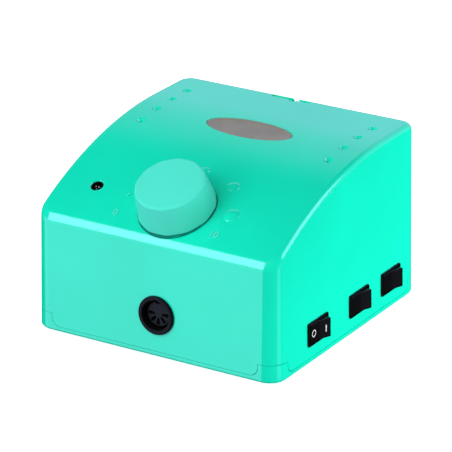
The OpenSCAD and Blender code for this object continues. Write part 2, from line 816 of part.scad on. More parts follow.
module motor_socket_core() {
    color(black) on_front(socket_x, socket_z) difference() {
        rod(socket_core_r, -socket_depth, socket_depth - core_sink);
        translate([-key_w / 2, socket_core_r - key_drop, -socket_depth + socket_back])
            cube([key_w, socket_core_r, socket_depth]);
        at_contacts() {
            block([contact_slot[0], contact_slot[1], socket_depth], -socket_depth + socket_back);
            block([contact_blade[0] + 2 * fit, contact_blade[1] + 2 * fit, socket_depth], -socket_depth - over);
        }
    }
}
module motor_socket_contacts() {
    contact_len = socket_depth + contact_tail - contact_sink;
    color(brass) on_front(socket_x, socket_z) at_contacts()
        block([contact_blade[0], contact_blade[1], contact_len], -socket_depth - contact_tail);
}
module motor_socket_nut() {
    color(steel) on_front(socket_x, socket_z)
        tube(socket_nut_r, socket_barrel_r + fit, -wall - fit - socket_nut_h, socket_nut_h);
}

// Rocker switches
pin_r = 0.8;
pin_len = 0.3;
pin_half = mouth_side + pin_len;
rocker_low = 1;
rocker_taper = 0.6;
keel_low = 2.6;
keel_half = 2;
cavity_depth = 7;
bezel_round = 1;
blade = [0.8, 4];
blade_tail = 6;
blade_tip = 6.2;
blade_pitch = 5;
module switch_body(y) {
    color(black) on_right(y, switch_z) difference() {
        union() {
            linear_extrude(height = bezel_t) rounded_rect(bezel_l, bezel_h, bezel_round);
            block([2 * body_half, 2 * body_side, switch_depth + bezel_t / 2], -switch_depth);
        }
        block([2 * mouth_half, 2 * mouth_side, cavity_depth + bezel_t + over], -cavity_depth);
        translate([0, 0, pivot_n]) rotate([90, 0, 0])
            cylinder(r = pin_r + running, h = 2 * (pin_half + running), center = true);
        at_blades() block([blade[0] + 2 * fit, blade[1] + 2 * fit, switch_depth], -switch_depth - over);
    }
}
module rocker(y) {
    low = pivot_n - rocker_low;
    keel = pivot_n - keel_low;
    low_half = rocker_half - rocker_taper;
    color(black) on_right(y, switch_z) translate([0, 0, pivot_n]) rotate([0, -rocker_tilt, 0])
        translate([0, 0, -pivot_n]) {
            rotate([90, 0, 0]) linear_extrude(height = 2 * rocker_side, center = true)
                polygon([[-rocker_half, rocker_tip], [0, rocker_nose], [rocker_half, rocker_tip],
                    [low_half, low], [keel_half, keel], [-keel_half, keel], [-low_half, low]]);
            translate([0, 0, pivot_n]) rotate([90, 0, 0]) cylinder(r = pin_r, h = 2 * pin_half, center = true);
        }
}
module at_blades() {
    for (i = [-1:1]) translate([i * blade_pitch, 0, 0]) children();
}
module switch_terminals(y) {
    color(brass) on_right(y, switch_z) at_blades()
        block([blade[0], blade[1], switch_depth + blade_tail - blade_tip], -switch_depth - blade_tail);
}
module power_switch_body() { switch_body(power_y); }
module power_rocker() { rocker(power_y); }
module power_switch_terminals() { switch_terminals(power_y); }
module direction_switch_body() { switch_body(direction_y); }
module direction_rocker() { rocker(direction_y); }
module direction_switch_terminals() { switch_terminals(direction_y); }
module pedal_switch_body() { switch_body(pedal_y); }
module pedal_rocker() { rocker(pedal_y); }
module pedal_switch_terminals() { switch_terminals(pedal_y); }

// Mains inlet
inlet_flange_t = 2.2;
inlet_depth = 14;
inlet_back = 3;
inlet_chamfer = 4.5;
inlet_pin = [2, 4];
pin_sink = 1;
pin_tail = 6;
pin_places = [[-7, -2], [7, -2], [0, 2]];
inlet_head_r = 2.8;
inlet_cross = 0.9;
inlet_round = 3;
screw_proud = 1;
inlet_nut_w = 5.5;
inlet_nut_h = 2.2;
module at_inlet_screws() {
    for (s = [-1, 1]) translate([s * inlet_pitch / 2, 0, 0]) children();
}
module inlet_outline() {
    w = inlet_cavity[0] / 2;
    h = inlet_cavity[1] / 2;
    c = inlet_chamfer;
    polygon([[-w, -h], [w, -h], [w, h - c], [w - c, h], [c - w, h], [-w, h - c]]);
}
module mains_inlet_body() {
    head_drop = inlet_head_r - inlet_screw_r;
    color(black) on_rear(inlet_x, inlet_z) difference() {
        union() {
            linear_extrude(height = inlet_flange_t) rounded_rect(inlet_flange_w, inlet_flange_h, inlet_round);
            block([inlet_shell[0], inlet_shell[1], inlet_depth + inlet_back + over], -inlet_depth - inlet_back);
        }
        translate([0, 0, -inlet_depth]) linear_extrude(height = 2 * inlet_depth) inlet_outline();
        for (p = pin_places) translate([p[0], p[1], -inlet_depth - inlet_back])
            block([inlet_pin[0] + 2 * fit, inlet_pin[1] + 2 * fit, inlet_depth], -over);
        at_inlet_screws() {
            rod(inlet_screw_r + pass, -over, inlet_flange_t + 2 * over);
            translate([0, 0, inlet_flange_t - head_drop - pass])
                cylinder(r1 = inlet_screw_r + pass, r2 = inlet_head_r + 3 * pass, h = head_drop + 2 * pass);
        }
    }
}
module mains_inlet_pins() {
    low = -inlet_depth - inlet_back - pin_tail;
    color(steel) on_rear(inlet_x, inlet_z) for (p = pin_places) translate([p[0], p[1], 0])
        block([inlet_pin[0], inlet_pin[1], -low - pin_sink], low);
}
module mains_inlet_screws() {
    head_drop = inlet_head_r - inlet_screw_r;
    screw_end = -wall - fit - inlet_nut_h - screw_proud;
    color(steel) on_rear(inlet_x, inlet_z) at_inlet_screws() {
        difference() {
            union() {
                rod(inlet_screw_r, screw_end, inlet_flange_t - head_drop / 2 - screw_end);
                translate([0, 0, inlet_flange_t - head_drop])
                    cylinder(r1 = inlet_screw_r, r2 = inlet_head_r, h = head_drop);
            }
            cross_recess(inlet_head_r * cross_share, inlet_flange_t - inlet_cross, inlet_cross + over);
        }
        difference() {
            hex(inlet_nut_w, -wall - fit - inlet_nut_h, inlet_nut_h);
            rod(inlet_screw_r + fit, -wall - inlet_nut_h - over, inlet_nut_h + 2 * over);
        }
    }
}

// Fuse holder
fuse_flange_rim = 1.5;
fuse_flange_r = fuse_barrel_r + fuse_flange_rim;
fuse_flange_t = 1.8;
fuse_len = 20;
fuse_r = 2.5;
fuse_body_len = 27;
fuse_back = 1.5;
fuse_disc_t = 0.4;
fuse_end = fuse_body_len - fuse_back - fuse_disc_t - 2 * fit;
fuse_barrel_wall = 0.9;
fuse_bore_r = fuse_barrel_r - fuse_barrel_wall;
cap_rim = 0.5;
cap_head_r = fuse_barrel_r + cap_rim;
cap_head_h = 4.2;
cap_z = fuse_flange_t + loose;
cap_grip = 0.9;
cap_skirt = cap_z + fuse_end - fuse_len + cap_grip;
cap_slot = 1.4;
fuse_nut_h = 3;
fuse_nut_play = 4;
fuse_stub_r = 1.2;
fuse_stub = 6;
side_tab = [3, 0.8, 4];
side_tab_n = 22;
module fuse_holder_body() {
    color(black) on_rear(fuse_x, fuse_z) difference() {
        union() {
            rod(fuse_flange_r, 0, fuse_flange_t);
            rod(fuse_barrel_r, -fuse_body_len, fuse_body_len + fuse_flange_t / 2);
        }
        rod(fuse_bore_r, -fuse_body_len + fuse_back, fuse_body_len + fuse_flange_t);
        rod(fuse_stub_r + fit, -fuse_body_len - over, fuse_back + 2 * over);
    }
}
module fuse_holder_nut() {
    color(steel) on_rear(fuse_x, fuse_z) difference() {
        hex(2 * fuse_barrel_r + fuse_nut_play, -wall - fit - fuse_nut_h, fuse_nut_h);
        rod(fuse_barrel_r + fit, -wall - fuse_nut_h - over, fuse_nut_h + 2 * over);
    }
}
module fuse_holder_contacts() {
    disc_z = -fuse_body_len + fuse_back + fit;
    low = -fuse_body_len - fuse_stub;
    color(brass) on_rear(fuse_x, fuse_z) {
        rod(fuse_r, disc_z, fuse_disc_t);
        rod(fuse_stub_r, low, disc_z - low);
        translate([-fuse_barrel_r - fit - side_tab[0] / 2, 0, 0]) block(side_tab, -side_tab_n);
    }
}
module fuse_cap() {
    low = cap_z - cap_skirt;
    color(black) on_rear(fuse_x, fuse_z) difference() {
        union() {
            rod(cap_head_r, cap_z, cap_head_h);
            rod(fuse_bore_r - loose, low, cap_skirt + over);
        }
        rod(fuse_r + fit, low - over, cap_grip + over);
        block([2 * cap_head_r + over, cap_slot, 2 * over], cap_z + cap_head_h - over);
    }
}
module fuse() {
    color(glass) on_rear(fuse_x, fuse_z) rod(fuse_r, -fuse_end, fuse_len);
}

// Pedal jack
jack_front = 3.4;
jack_nut_play = 3;
jack_nut_w = 2 * jack_thread_r + jack_nut_play;
jack_nut_h = 2.2;
jack_box = [14, 14, 20];
jack_deep = 18;
jack_tab = [4, 0.8, 3];
jack_tab_up = 4;
jack_end = wall + 2 * fit + jack_box[2] + jack_tab[2];
module pedal_jack_body() {
    color(black) on_rear(jack_x, jack_z) difference() {
        union() {
            rod(jack_thread_r, -wall - over, wall + over + jack_front);
            block(jack_box, -wall - fit - jack_box[2]);
        }
        rod(jack_bore_r, -wall - jack_deep, wall + jack_deep + jack_front + over);
    }
}
module pedal_jack_nut() {
    color(steel) on_rear(jack_x, jack_z) difference() {
        hex(jack_nut_w, fit, jack_nut_h);
        rod(jack_thread_r + fit, -over, jack_nut_h + 2 * over);
    }
}
module pedal_jack_contacts() {
    color(brass) on_rear(jack_x, jack_z) for (s = [-1, 1]) translate([0, s * jack_tab_up, 0])
        block(jack_tab, -jack_end);
}

// Transformer
window_w = (core_l - 2 * core_leg) / 2;
core_yoke = core_leg / 2;
window_h = core_h - 2 * core_yoke;
coil_play = [0.6, 0.4];
coil_x = core_stack / 2 + window_w - coil_play[0];
coil_y = core_leg / 2 + window_w - coil_play[1];
bobbin_wall = 1;
bobbin_play = 0.4;
winding_in = 0.4;
winding_round = 3;
strap_screw_len = 4.5;
module in_transformer() {
    translate([transformer_x, transformer_y, floor_z + transformer_lift]) children();
}
module at_transformer_screws() {
    for (s = [-1, 1]) translate([transformer_x, transformer_y + s * strap_hole, 0]) children();
}
module transformer_core() {
    color(core_grey) in_transformer() difference() {
        block([core_stack, core_l, core_h], 0);
        for (s = [-1, 1]) translate([0, s * (core_leg + window_w) / 2, 0])
            block([core_stack + 2 * over, window_w, window_h], core_yoke);
    }
}
leg_hole = [core_stack + bobbin_play, core_leg + bobbin_play];
bobbin_tube = [leg_hole[0] + 2 * bobbin_wall, leg_hole[1] + 2 * bobbin_wall];
module transformer_bobbin() {
    color(cream) in_transformer() difference() {
        union() {
            block([bobbin_tube[0], bobbin_tube[1], window_h - 2 * pass], core_yoke + pass);
            for (z = [core_yoke + pass, core_yoke + window_h - pass - bobbin_wall])
                block([2 * coil_x, 2 * coil_y, bobbin_wall], z);
        }
        block([leg_hole[0], leg_hole[1], window_h + 2 * over], core_yoke - over);
    }
}
coil_h = window_h - 2 * pass - 2 * bobbin_wall - 2 * fit;
module transformer_winding() {
    color(tape_yellow) in_transformer() difference() {
        linear_extrude_at(core_yoke + pass + bobbin_wall + fit, coil_h)
            rounded_rect(2 * (coil_x - winding_in), 2 * (coil_y - winding_in), winding_round);
        block([bobbin_tube[0] + 2 * fit, bobbin_tube[1] + 2 * fit, core_h], 0);
    }
}
module linear_extrude_at(z, h) {
    translate([0, 0, z]) linear_extrude(height = h) children();
}
module transformer_strap() {
    side = core_l / 2 + fit;
    roof = core_h + fit;
    color(steel) in_transformer() difference() {
        union() {
            block([strap_w, 2 * (side + strap_t), strap_t], roof);
            for (s = [-1, 1]) {
                translate([0, s * (side + strap_t / 2), 0]) block([strap_w, strap_t, roof + strap_t], 0);
                translate([0, s * (side + (strap_t + strap_foot) / 2), 0])
                    block([strap_w, strap_t + strap_foot, strap_t], 0);
            }
        }
        for (s = [-1, 1]) translate([0, s * strap_hole, 0])
            rod(small_screw_r + pass, -over, strap_t + 2 * over);
    }
}
module small_screw(z, len) {
    difference() {
        union() {
            rod(small_head_r, z, small_head_h);
            rod(small_screw_r, z - len, len + small_head_h / 4);
        }
        cross_recess(small_head_r * cross_share, z + small_head_h / 2, small_head_h);
    }
}
module transformer_screws() {
    color(steel) at_transformer_screws() small_screw(floor_z + transformer_lift + strap_t, strap_screw_len);
}

// Control board and what stands on it
board_top = board_z + board_t;
board_left = board_x - board_w / 2;
board_screw_grip = 5;
module at_board_holes() {
    translate([board_x, board_y, 0])
        at_corners(board_w / 2 - board_hole_in, board_l / 2 - board_hole_in) children();
}
module control_board() {
    color(board_green) difference() {
        translate([board_x, board_y, 0]) block([board_w, board_l, board_t], board_z);
        at_board_holes() rod(small_screw_r + pass, board_z - over, board_t + 2 * over);
    }
}
module board_screws() {
    color(steel) at_board_holes() small_screw(board_top, board_t + board_screw_grip);
}
// Place on the board, measured from its front left corner
module on_board(x, y) {
    translate([board_left + x, board_front_y + y, board_top]) children();
}
sink_base = 3;
sink_len = 36;
sink_h = 24;
fin_reach = 6;
fin_t = 1.6;
fin_count = 6;
fin_lift = 2;
sink_at = [12, 36];
module heat_sink() {
    fin_step = (sink_len - fin_t) / (fin_count - 1);
    fin_w = fin_reach + sink_base / 2;
    color(steel) on_board(sink_at[0], sink_at[1]) {
        block([sink_base, sink_len, sink_h], 0);
        for (i = [0:fin_count - 1])
            translate([-fin_w / 2, -sink_len / 2 + fin_t / 2 + i * fin_step, 0])
                block([fin_w, fin_t, sink_h - fin_lift], fin_lift);
    }
}
package = [4.4, 10, 9];
tab_t = 1.3;
tab_h = 6.4;
package_lift = 4;
package_places = [-10, 10];
package_leg = [0.6, 0.8];
pin_pitch = 2.54;
module power_transistors() {
    color(black) on_board(sink_at[0] + sink_base / 2 + fit, sink_at[1]) for (y = package_places)
        translate([0, y, 0]) {
            translate([package[0] / 2, 0, 0]) block(package, package_lift);
            translate([tab_t / 2, 0, 0]) block([tab_t, package[1], tab_h], package_lift + package[2]);
            for (i = [-1:1]) translate([package[0] / 2, pin_pitch * i, 0])
                block([package_leg[0], package_leg[1], package_lift], 0);
        }
}
capacitor_r = 6.5;
capacitor_h = 22;
capacitor_places = [[26, 16], [26, 32]];
module filter_capacitors() {
    color(sleeve_blue) for (p = capacitor_places) on_board(p[0], p[1]) rod(capacitor_r, 0, capacitor_h);
}
rectifier = [5.5, 15, 12];
rectifier_at = [38, 20];
rectifier_leg = [0.8, 1, 3];
rectifier_pitch = 3.8;
module bridge_rectifier() {
    color(black) on_board(rectifier_at[0], rectifier_at[1]) {
        block(rectifier, rectifier_leg[2]);
        for (i = [-1.5:1.5]) translate([0, rectifier_pitch * i, 0]) block(rectifier_leg, 0);
    }
}
chip = [6.4, 19, 3.4];
chip_at = [37, 44];
chip_pin = [0.5, 0.6, 1];
chip_row = 2.9;
module control_chip() {
    color(black) on_board(chip_at[0], chip_at[1]) {
        block(chip, chip_pin[2]);
        for (s = [-1, 1], i = [-3:3]) translate([s * chip_row, pin_pitch * i, 0]) block(chip_pin, 0);
    }
}
// Sockets for the leads: place on the board and plan size
plug_h = 9;
plug_places = [[12, 3, 7, 6], [22, 3, 10, 6], [34, 3, 10, 6], [49, 44.4, 6, 11],
    [49, 53.6, 6, 6], [36, 61, 10, 6], [3, 12.5, 6, 10]];
module board_connectors() {
    color(cream) for (p = plug_places) on_board(p[0], p[1]) block([p[2], p[3], plug_h], 0);
}

// Leads between the pieces
lead_r = 1.3;
lead_sides = 8;
lead_stub = 2.4;
lead_spread = 1.7;
bend_steps = 2;

// Ends of the leads: a point on the terminal's face and the direction out of that face
upward = [0, 0, 1];
rightward = [1, 0, 0];
from_front = [0, cos(draft), -sin(draft)];
from_right = [-cos(draft), 0, -sin(draft)];
from_rear = [0, -cos(draft), -sin(draft)];
function inlet_end(p) =
    [out_rear(inlet_x, inlet_z, p[0], p[1], -inlet_depth - inlet_back - pin_tail), from_rear];
fuse_tip = [out_rear(fuse_x, fuse_z, 0, 0, -fuse_body_len - fuse_stub), from_rear];
fuse_side = [out_rear(fuse_x, fuse_z, -fuse_barrel_r - fit - side_tab[0], 0, side_tab[2] / 2 - side_tab_n),
    rightward];
function switch_end(y, i) = [out_right(y, switch_z, i * blade_pitch, -switch_depth - blade_tail), from_right];
function coil_end(y, z) = [[transformer_x + coil_x - winding_in, transformer_y + y,
    floor_z + transformer_lift + core_h / 2 + z], rightward];
earth_end = [[transformer_x, transformer_y + strap_hole, floor_z + transformer_lift + strap_t + small_head_h],
    upward];
socket_end = [out_front(socket_x, socket_z, -contact_ring_r, -socket_depth - contact_tail), from_front];
pot_end = [out_top(knob_x, knob_y, pot_tab_foot(0) + pot_tab[1], track_z + pot_tab[2] / 2),
    [0, cos(top_tilt(knob_y)), sin(top_tilt(knob_y))]];
lamp_tip = [out_top(lamp_x, lamp_y, 0, lamp_foot - fit - lamp_leg_len),
    [0, sin(top_tilt(lamp_y)), -cos(top_tilt(lamp_y))]];
jack_tip = [out_rear(jack_x, jack_z, 0, -jack_tab_up, -jack_end), from_rear];
function plug_end(i, x) = [[board_left + plug_places[i][0] + x, board_front_y + plug_places[i][1],
    board_top + plug_h], upward];

// A route leaves and meets its terminals squarely and bends through points told as
// a share of the way between its ends and a shift from there
function route(a, bends, b) = concat(
    [a[0], a[0] + lead_stub * a[1]],
    [for (w = bends) a[0] + (b[0] - a[0]) * w[0] + w[1]],
    [b[0] + lead_stub * b[1], b[0]]);
inlet_fuse_route = route(inlet_end(pin_places[0]), [[0.3, [0, -8, 0]], [0.8, [0, -7.5, 0]]], fuse_tip);
fuse_switch_route = route(fuse_side,
    [[0.15, [2, 0, 9]], [0.5, [4, 0, 19]], [0.85, [0, 0, 14]], [0.97, [-3.2, 0, 6]]], switch_end(power_y, 0));
switch_coil_route = route(switch_end(power_y, -1),
    [[0.04, [-2, 0, 6]], [0.2, [0, -3, 19]], [0.6, [0, -3, 18.5]], [0.92, [0, 0, 10]]], coil_end(-4, 4));
inlet_coil_route = route(inlet_end(pin_places[1]), [[0.3, [4, 0, 6.5]], [0.7, [9, 2, 4.5]]], coil_end(5, 4));
coil_board_route = route(coil_end(-8, -8), [[0.45, [0, 0, 6]]], plug_end(6, 0));
earth_route = route(inlet_end(pin_places[2]), [[0.5, [0, 2.5, -2]]], earth_end);
motor_route = route(socket_end, [[0.5, [0, 1, 5.5]]], plug_end(0, lead_spread));
knob_route = route(pot_end, [[0.25, [0, 8, 3]], [0.65, [2, 2, 4]]], plug_end(1, 0));
lamp_route = route(lamp_tip, [[0.2, [0, -2, -3]], [0.75, [0, -4, 2]]], plug_end(0, -lead_spread));
direction_route = route(switch_end(direction_y, 0), [[0.4, [1, 0, 4.9]]], plug_end(3, 0));
pedal_route = route(switch_end(pedal_y, 0), [[0.5, [0, 0, 5]]], plug_end(4, 0));
jack_route = route(jack_tip, [[0.5, [0, -1, 3.5]]], plug_end(5, 0));

function unit(v) = v / norm(v);
function spline(p, i, t) = let (
    a = p[max(i - 1, 0)], b = p[i], c = p[i + 1], d = p[min(i + 2, len(p) - 1)])
    b + ((c - a) * t + (2 * a - 5 * b + 4 * c - d) * t * t + (3 * b - a - 3 * c + d) * t * t * t) / 2;
function smooth(p) = concat(
    [p[0]],
    [for (i = [1:len(p) - 3], k = [0:bend_steps - 1]) spline(p, i, k / bend_steps)],
    [p[len(p) - 2], p[len(p) - 1]]);
function heading(q, i) = unit(q[min(i + 1, len(q) - 1)] - q[max(i - 1, 0)]);
function carried(q, i, n) = i == len(q) ? []
    : let (t = heading(q, i), m = unit(n - t * (n * t))) concat([m], carried(q, i + 1, m));
// A direction that no lead starts along
lead_side = [0.31, 0.22, 0.92];
module lead(path) {
    q = smooth(path);
    n = len(q);
    s = lead_sides;
    side = carried(q, 0, lead_side);
    points = [for (i = [0:n - 1], k = [0:s - 1])
        let (a = 360 * k / s)
        q[i] + lead_r * (cos(a) * side[i] + sin(a) * cross(heading(q, i), side[i]))];
    skin = [for (i = [0:n - 2], k = [0:s - 1], f = [0, 1]) let (
        a = i * s + k, b = i * s + (k + 1) % s)
        f == 0 ? [a, a + s, b + s] : [a, b + s, b]];
    caps = [for (k = [1:s - 2], f = [0, 1])
        f == 0 ? [0, k, k + 1] : [(n - 1) * s, (n - 1) * s + k + 1, (n - 1) * s + k]];
    polyhedron(points = points, faces = concat(skin, caps));
}
module mains_leads() {
    color(lead_brown) {
        lead(inlet_fuse_route);
        lead(fuse_switch_route);
        lead(switch_coil_route);
        lead(inlet_coil_route);
        lead(coil_board_route);
        lead(earth_route);
    }
}
module motor_lead() {
    color(lead_red) lead(motor_route);
}
module signal_leads() {
    color(lead_yellow) {
        lead(knob_route);
        lead(lamp_route);
        lead(direction_route);
        lead(pedal_route);
        lead(jack_route);
    }
}

// The origin is under the middle of the whole outline, raised rockers, knob, socket and fuse cap included
right_reach = half_w(switch_z) + rocker_rise;
knob_reach = -knob_y + knob_top * sin(top_tilt(knob_y)) + knob_top_r * cos(top_tilt(knob_y));
front_reach = max(half_d(socket_z) + socket_flange_t, knob_reach);
rear_reach = half_d(fuse_z) + fuse_flange_t + loose + cap_head_h;
module placed() {
    translate([(case_w / 2 - right_reach) / 2, (front_reach - rear_reach) / 2, 0]) children();
}

placed() upper_housing();
placed() base_tray();
placed() rubber_feet();
placed() case_screws();
placed() name_badge();
placed() speed_knob();
placed() knob_insert();
placed() pot_shaft();
placed() pot_wiper();
placed() pot_bushing();
placed() pot_body();
placed() pot_track();
placed() pot_washer();
placed() pot_nut();
placed() pot_terminals();
placed() lamp_lens();
placed() lamp_sleeve_ring();
placed() lamp_legs();
placed() motor_socket_shell();
placed() motor_socket_core();
placed() motor_socket_contacts();
placed() motor_socket_nut();
placed() power_switch_body();
placed() power_rocker();
placed() power_switch_terminals();
placed() direction_switch_body();
placed() direction_rocker();
placed() direction_switch_terminals();
placed() pedal_switch_body();
placed() pedal_rocker();
placed() pedal_switch_terminals();
placed() mains_inlet_body();
placed() mains_inlet_pins();
placed() mains_inlet_screws();
placed() fuse_holder_body();
placed() fuse_holder_nut();
placed() fuse_holder_contacts();
placed() fuse_cap();
placed() fuse();
placed() pedal_jack_body();
placed() pedal_jack_nut();
placed() pedal_jack_contacts();
placed() transformer_core();
placed() transformer_bobbin();
placed() transformer_winding();
placed() transformer_strap();
placed() transformer_screws();
placed() control_board();
placed() board_screws();
placed() heat_sink();
placed() power_transistors();
placed() filter_capacitors();
placed() bridge_rectifier();
placed() control_chip();
placed() board_connectors();
placed() mains_leads();
placed() motor_lead();
placed() signal_leads();
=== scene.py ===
import math

import bmesh
import bpy
from bpy.props import FloatProperty, FloatVectorProperty, IntProperty, PointerProperty, StringProperty
from mathutils import Matrix, Vector
from mathutils.bvhtree import BVHTree
from mathutils.geometry import barycentric_transform


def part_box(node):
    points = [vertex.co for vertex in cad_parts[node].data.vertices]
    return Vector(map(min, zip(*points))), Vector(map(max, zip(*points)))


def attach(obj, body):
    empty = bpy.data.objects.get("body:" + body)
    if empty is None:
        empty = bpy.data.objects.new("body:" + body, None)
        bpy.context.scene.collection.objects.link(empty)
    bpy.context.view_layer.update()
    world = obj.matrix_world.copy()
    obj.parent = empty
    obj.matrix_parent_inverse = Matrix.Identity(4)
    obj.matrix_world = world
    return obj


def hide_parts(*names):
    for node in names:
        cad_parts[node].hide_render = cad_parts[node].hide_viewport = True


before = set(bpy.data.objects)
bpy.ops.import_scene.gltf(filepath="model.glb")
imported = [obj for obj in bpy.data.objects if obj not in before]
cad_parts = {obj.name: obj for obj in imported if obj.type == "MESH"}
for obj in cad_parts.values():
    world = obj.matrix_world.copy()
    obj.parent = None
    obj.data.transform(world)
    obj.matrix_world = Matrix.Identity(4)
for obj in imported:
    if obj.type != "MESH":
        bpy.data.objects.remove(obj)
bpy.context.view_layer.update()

bl_info = {
    "name": "Nail drill control box",
    "version": (1, 0, 0),
    "blender": (4, 5, 0),
    "location": "3D View > Sidebar > Drill box",
    "description": "Dresses the packed control box: glossy case, fluted knob, switches, sockets and studio",
    "category": "Object",
}

MM = 0.001


def size(name, value, text):
    """A length property, given in millimetres."""
    return FloatProperty(name=name, description=text, default=value * MM, unit="LENGTH", precision=5)


def angle(name, degrees, text):
    """An angle property, given in degrees."""
    return FloatProperty(name=name, description=text, default=math.radians(degrees), subtype="ANGLE")


def colour(name, value, text):
    """A colour property in linear light."""
    return FloatVectorProperty(name=name, description=text, default=value, subtype="COLOR", min=0, max=1)


class CaseSizes(bpy.types.PropertyGroup):
    """Sizes of the case, the same as the solids have."""
    width: size("Width", 130, "Width along the bottom edge")
    depth: size("Depth", 131.4, "Depth along the bottom edge")
    crown_z: size("Crown height", 86.6, "Height of the level rear part of the top")
    crown_y: size("Crown place", 34, "Distance behind the middle at which the top becomes level")
    top_r: size("Arch radius", 186, "Radius of the arched top")
    corner_r: size("Corner radius", 8.5, "Radius of the upright corners")
    edge_r: size("Edge radius", 3.2, "Radius of the rounded edge round the top")
    wall: size("Wall", 2.5, "Thickness of the walls")
    draft: angle("Draft", 1.05, "Lean of the walls")
    foot_h: size("Foot height", 1.8, "Height that the feet lift the case")
    floor_t: size("Floor", 2.7, "Thickness of the tray's floor")
    corner_rise: size("Corner rise", 8.8, "Height of the tray's corner walls")
    dip_side: size("Dip side", 10, "Distance from a side to where the parting line dips")
    dip_r: size("Dip radius", 4.4, "Radius of the dip's lower corners")
    parting_gap: size("Parting gap", 0.2, "Width of the parting line")
    tray_edge: size("Tray edge", 1.7, "Rounding of the tray's bottom edge")
    steps: IntProperty(name="Arch steps", description="Steps along the arched top", default=72, min=12)


class TrimSizes(bpy.types.PropertyGroup):
    """Sizes of what shows on the case."""
    knob_x: size("Knob across", 1.7, "Place of the knob across the panel")
    knob_y: size("Knob along", -46.8, "Place of the knob along the panel")
    knob_r: size("Knob radius", 18.4, "Radius of the knob's skirt")
    knob_top_r: size("Knob top radius", 16.3, "Radius of the knob's top")
    knob_h: size("Knob height", 14.9, "Height of the knob")
    knob_gap: size("Knob gap", 0.5, "Gap between the knob and the panel")
    knob_round: size("Knob rounding", 1.3, "Rounding of the knob's top edge")
    flutes: IntProperty(name="Flutes", description="Wide shallow flutes round the knob", default=12, min=3)
    flute_depth: size("Flute depth", 0.22, "Depth of the knob's flutes")
    dot_ring: size("Dot ring", 27, "Distance of the speed dots from the knob's axis")
    dot_first: size("First dot", 1, "Radius of the smallest speed dot")
    dot_growth: size("Dot growth", 0.65, "Radius that each next dot gains")
    dot_h: size("Dot height", 0.9, "Height of the speed dots")
    dot_start: angle("Dot start", 178, "Direction of the first dot from the knob")
    dot_step: angle("Dot step", 43.25, "Angle between neighbouring dots")
    dots: IntProperty(name="Dots", description="Number of speed dots", default=5, min=1)
    low_number: StringProperty(name="Low number", description="Number at the slow end", default="0")
    high_number: StringProperty(name="High number", description="Number at the fast end", default="10")
    number_h: size("Number height", 4.8, "Height of the numbers")
    badge_l: size("Badge length", 45, "Length of the bare oval badge")
    badge_w: size("Badge width", 18, "Width of the bare oval badge")
    badge_y: size("Badge place", 16.8, "Place of the badge behind the middle")
    socket_x: size("Socket across", 2, "Place of the motor socket across the front")
    socket_z: size("Socket height", 22.4, "Height of the motor socket's axis")
    switch_z: size("Switch height", 16.3, "Height of the switches")


class Colours(bpy.types.PropertyGroup):
    """Colours of the finishes."""
    case: colour("Case", (0.006, 0.86, 0.585), "Turquoise of the case")
    knob: colour("Knob", (0.085, 0.88, 0.70), "Paler turquoise of the knob")
    badge: colour("Badge", (0.36, 0.325, 0.255), "Grey of the bare badge")
    black: colour("Black", (0.0045, 0.0045, 0.005), "Black of the switches and sockets")


# Steps of the round forms, and rounds in which a point on the arched edge settles
CORNER_STEPS = 16
EDGE_STEPS = 12
TRAY_EDGE_STEPS = 6
DIP_STEPS = 12
SETTLE_ROUNDS = 4
# Sides of turned solids, from the smallest to the largest
TINY = 24
SMALL = 48
MIDDLE = 64
USUAL = 96
LARGE = 128
KNOB_SIDES = 192
# Sharpest turn that is shaded smooth, and how near and alike a face lies to the form that shades it
SHARP = math.radians(35)
NEAR_SURFACE = 0.02 * MM
ALIKE = 0.8
# Places on the top: across and along, from the middle of the case
BIT_ROWS = (-50.4 * MM, 50.4 * MM)
BIT_PLACES = (3.8 * MM, 17.4 * MM, 31.0 * MM, 44.6 * MM)
LAMP = (-43 * MM, -44.7 * MM)
BADGE_X = 0.9 * MM
NUMBER_PLACES = ((-25.5 * MM, -56.3 * MM), (26.6 * MM, -56.1 * MM))
# Groove and slot of the handpiece rest at the rear edge of the top
GROOVE_X = -2.2 * MM
GROOVE_L = 20.5 * MM
GROOVE_W = 2.8 * MM
GROOVE_END = 3.6 * MM
SLOT_X = -0.5 * MM
SLOT_REACH = 8.0 * MM
# Posts and feet: half their spacing across and along
POSTS = (54 * MM, 54.7 * MM)
FEET = (47 * MM, 39.7 * MM)
# Switches along the right wall, and fittings across and up the rear wall
SWITCHES = (("power", -29.4 * MM), ("direction", 8.4 * MM), ("pedal", 38.4 * MM))
INLET = (-27 * MM, 30 * MM)
FUSE = (10 * MM, 26 * MM)
JACK = (36 * MM, 29 * MM)


def quarter(steps):
    """Angles of a quarter turn."""
    return [math.pi / 2 * i / steps for i in range(steps + 1)]


def around(n):
    """Cosines and sines of n directions round a circle."""
    turns = [2 * math.pi * i / n for i in range(n)]
    return [(math.cos(a), math.sin(a)) for a in turns]


def corners(half):
    """The four corners of a rectangle, from half its sides."""
    return [(sx * half[0], sy * half[1]) for sx in (-1, 1) for sy in (-1, 1)]


def mm(x, y, z):
    """A point given in millimetres."""
    return Vector((x * MM, y * MM, z * MM))


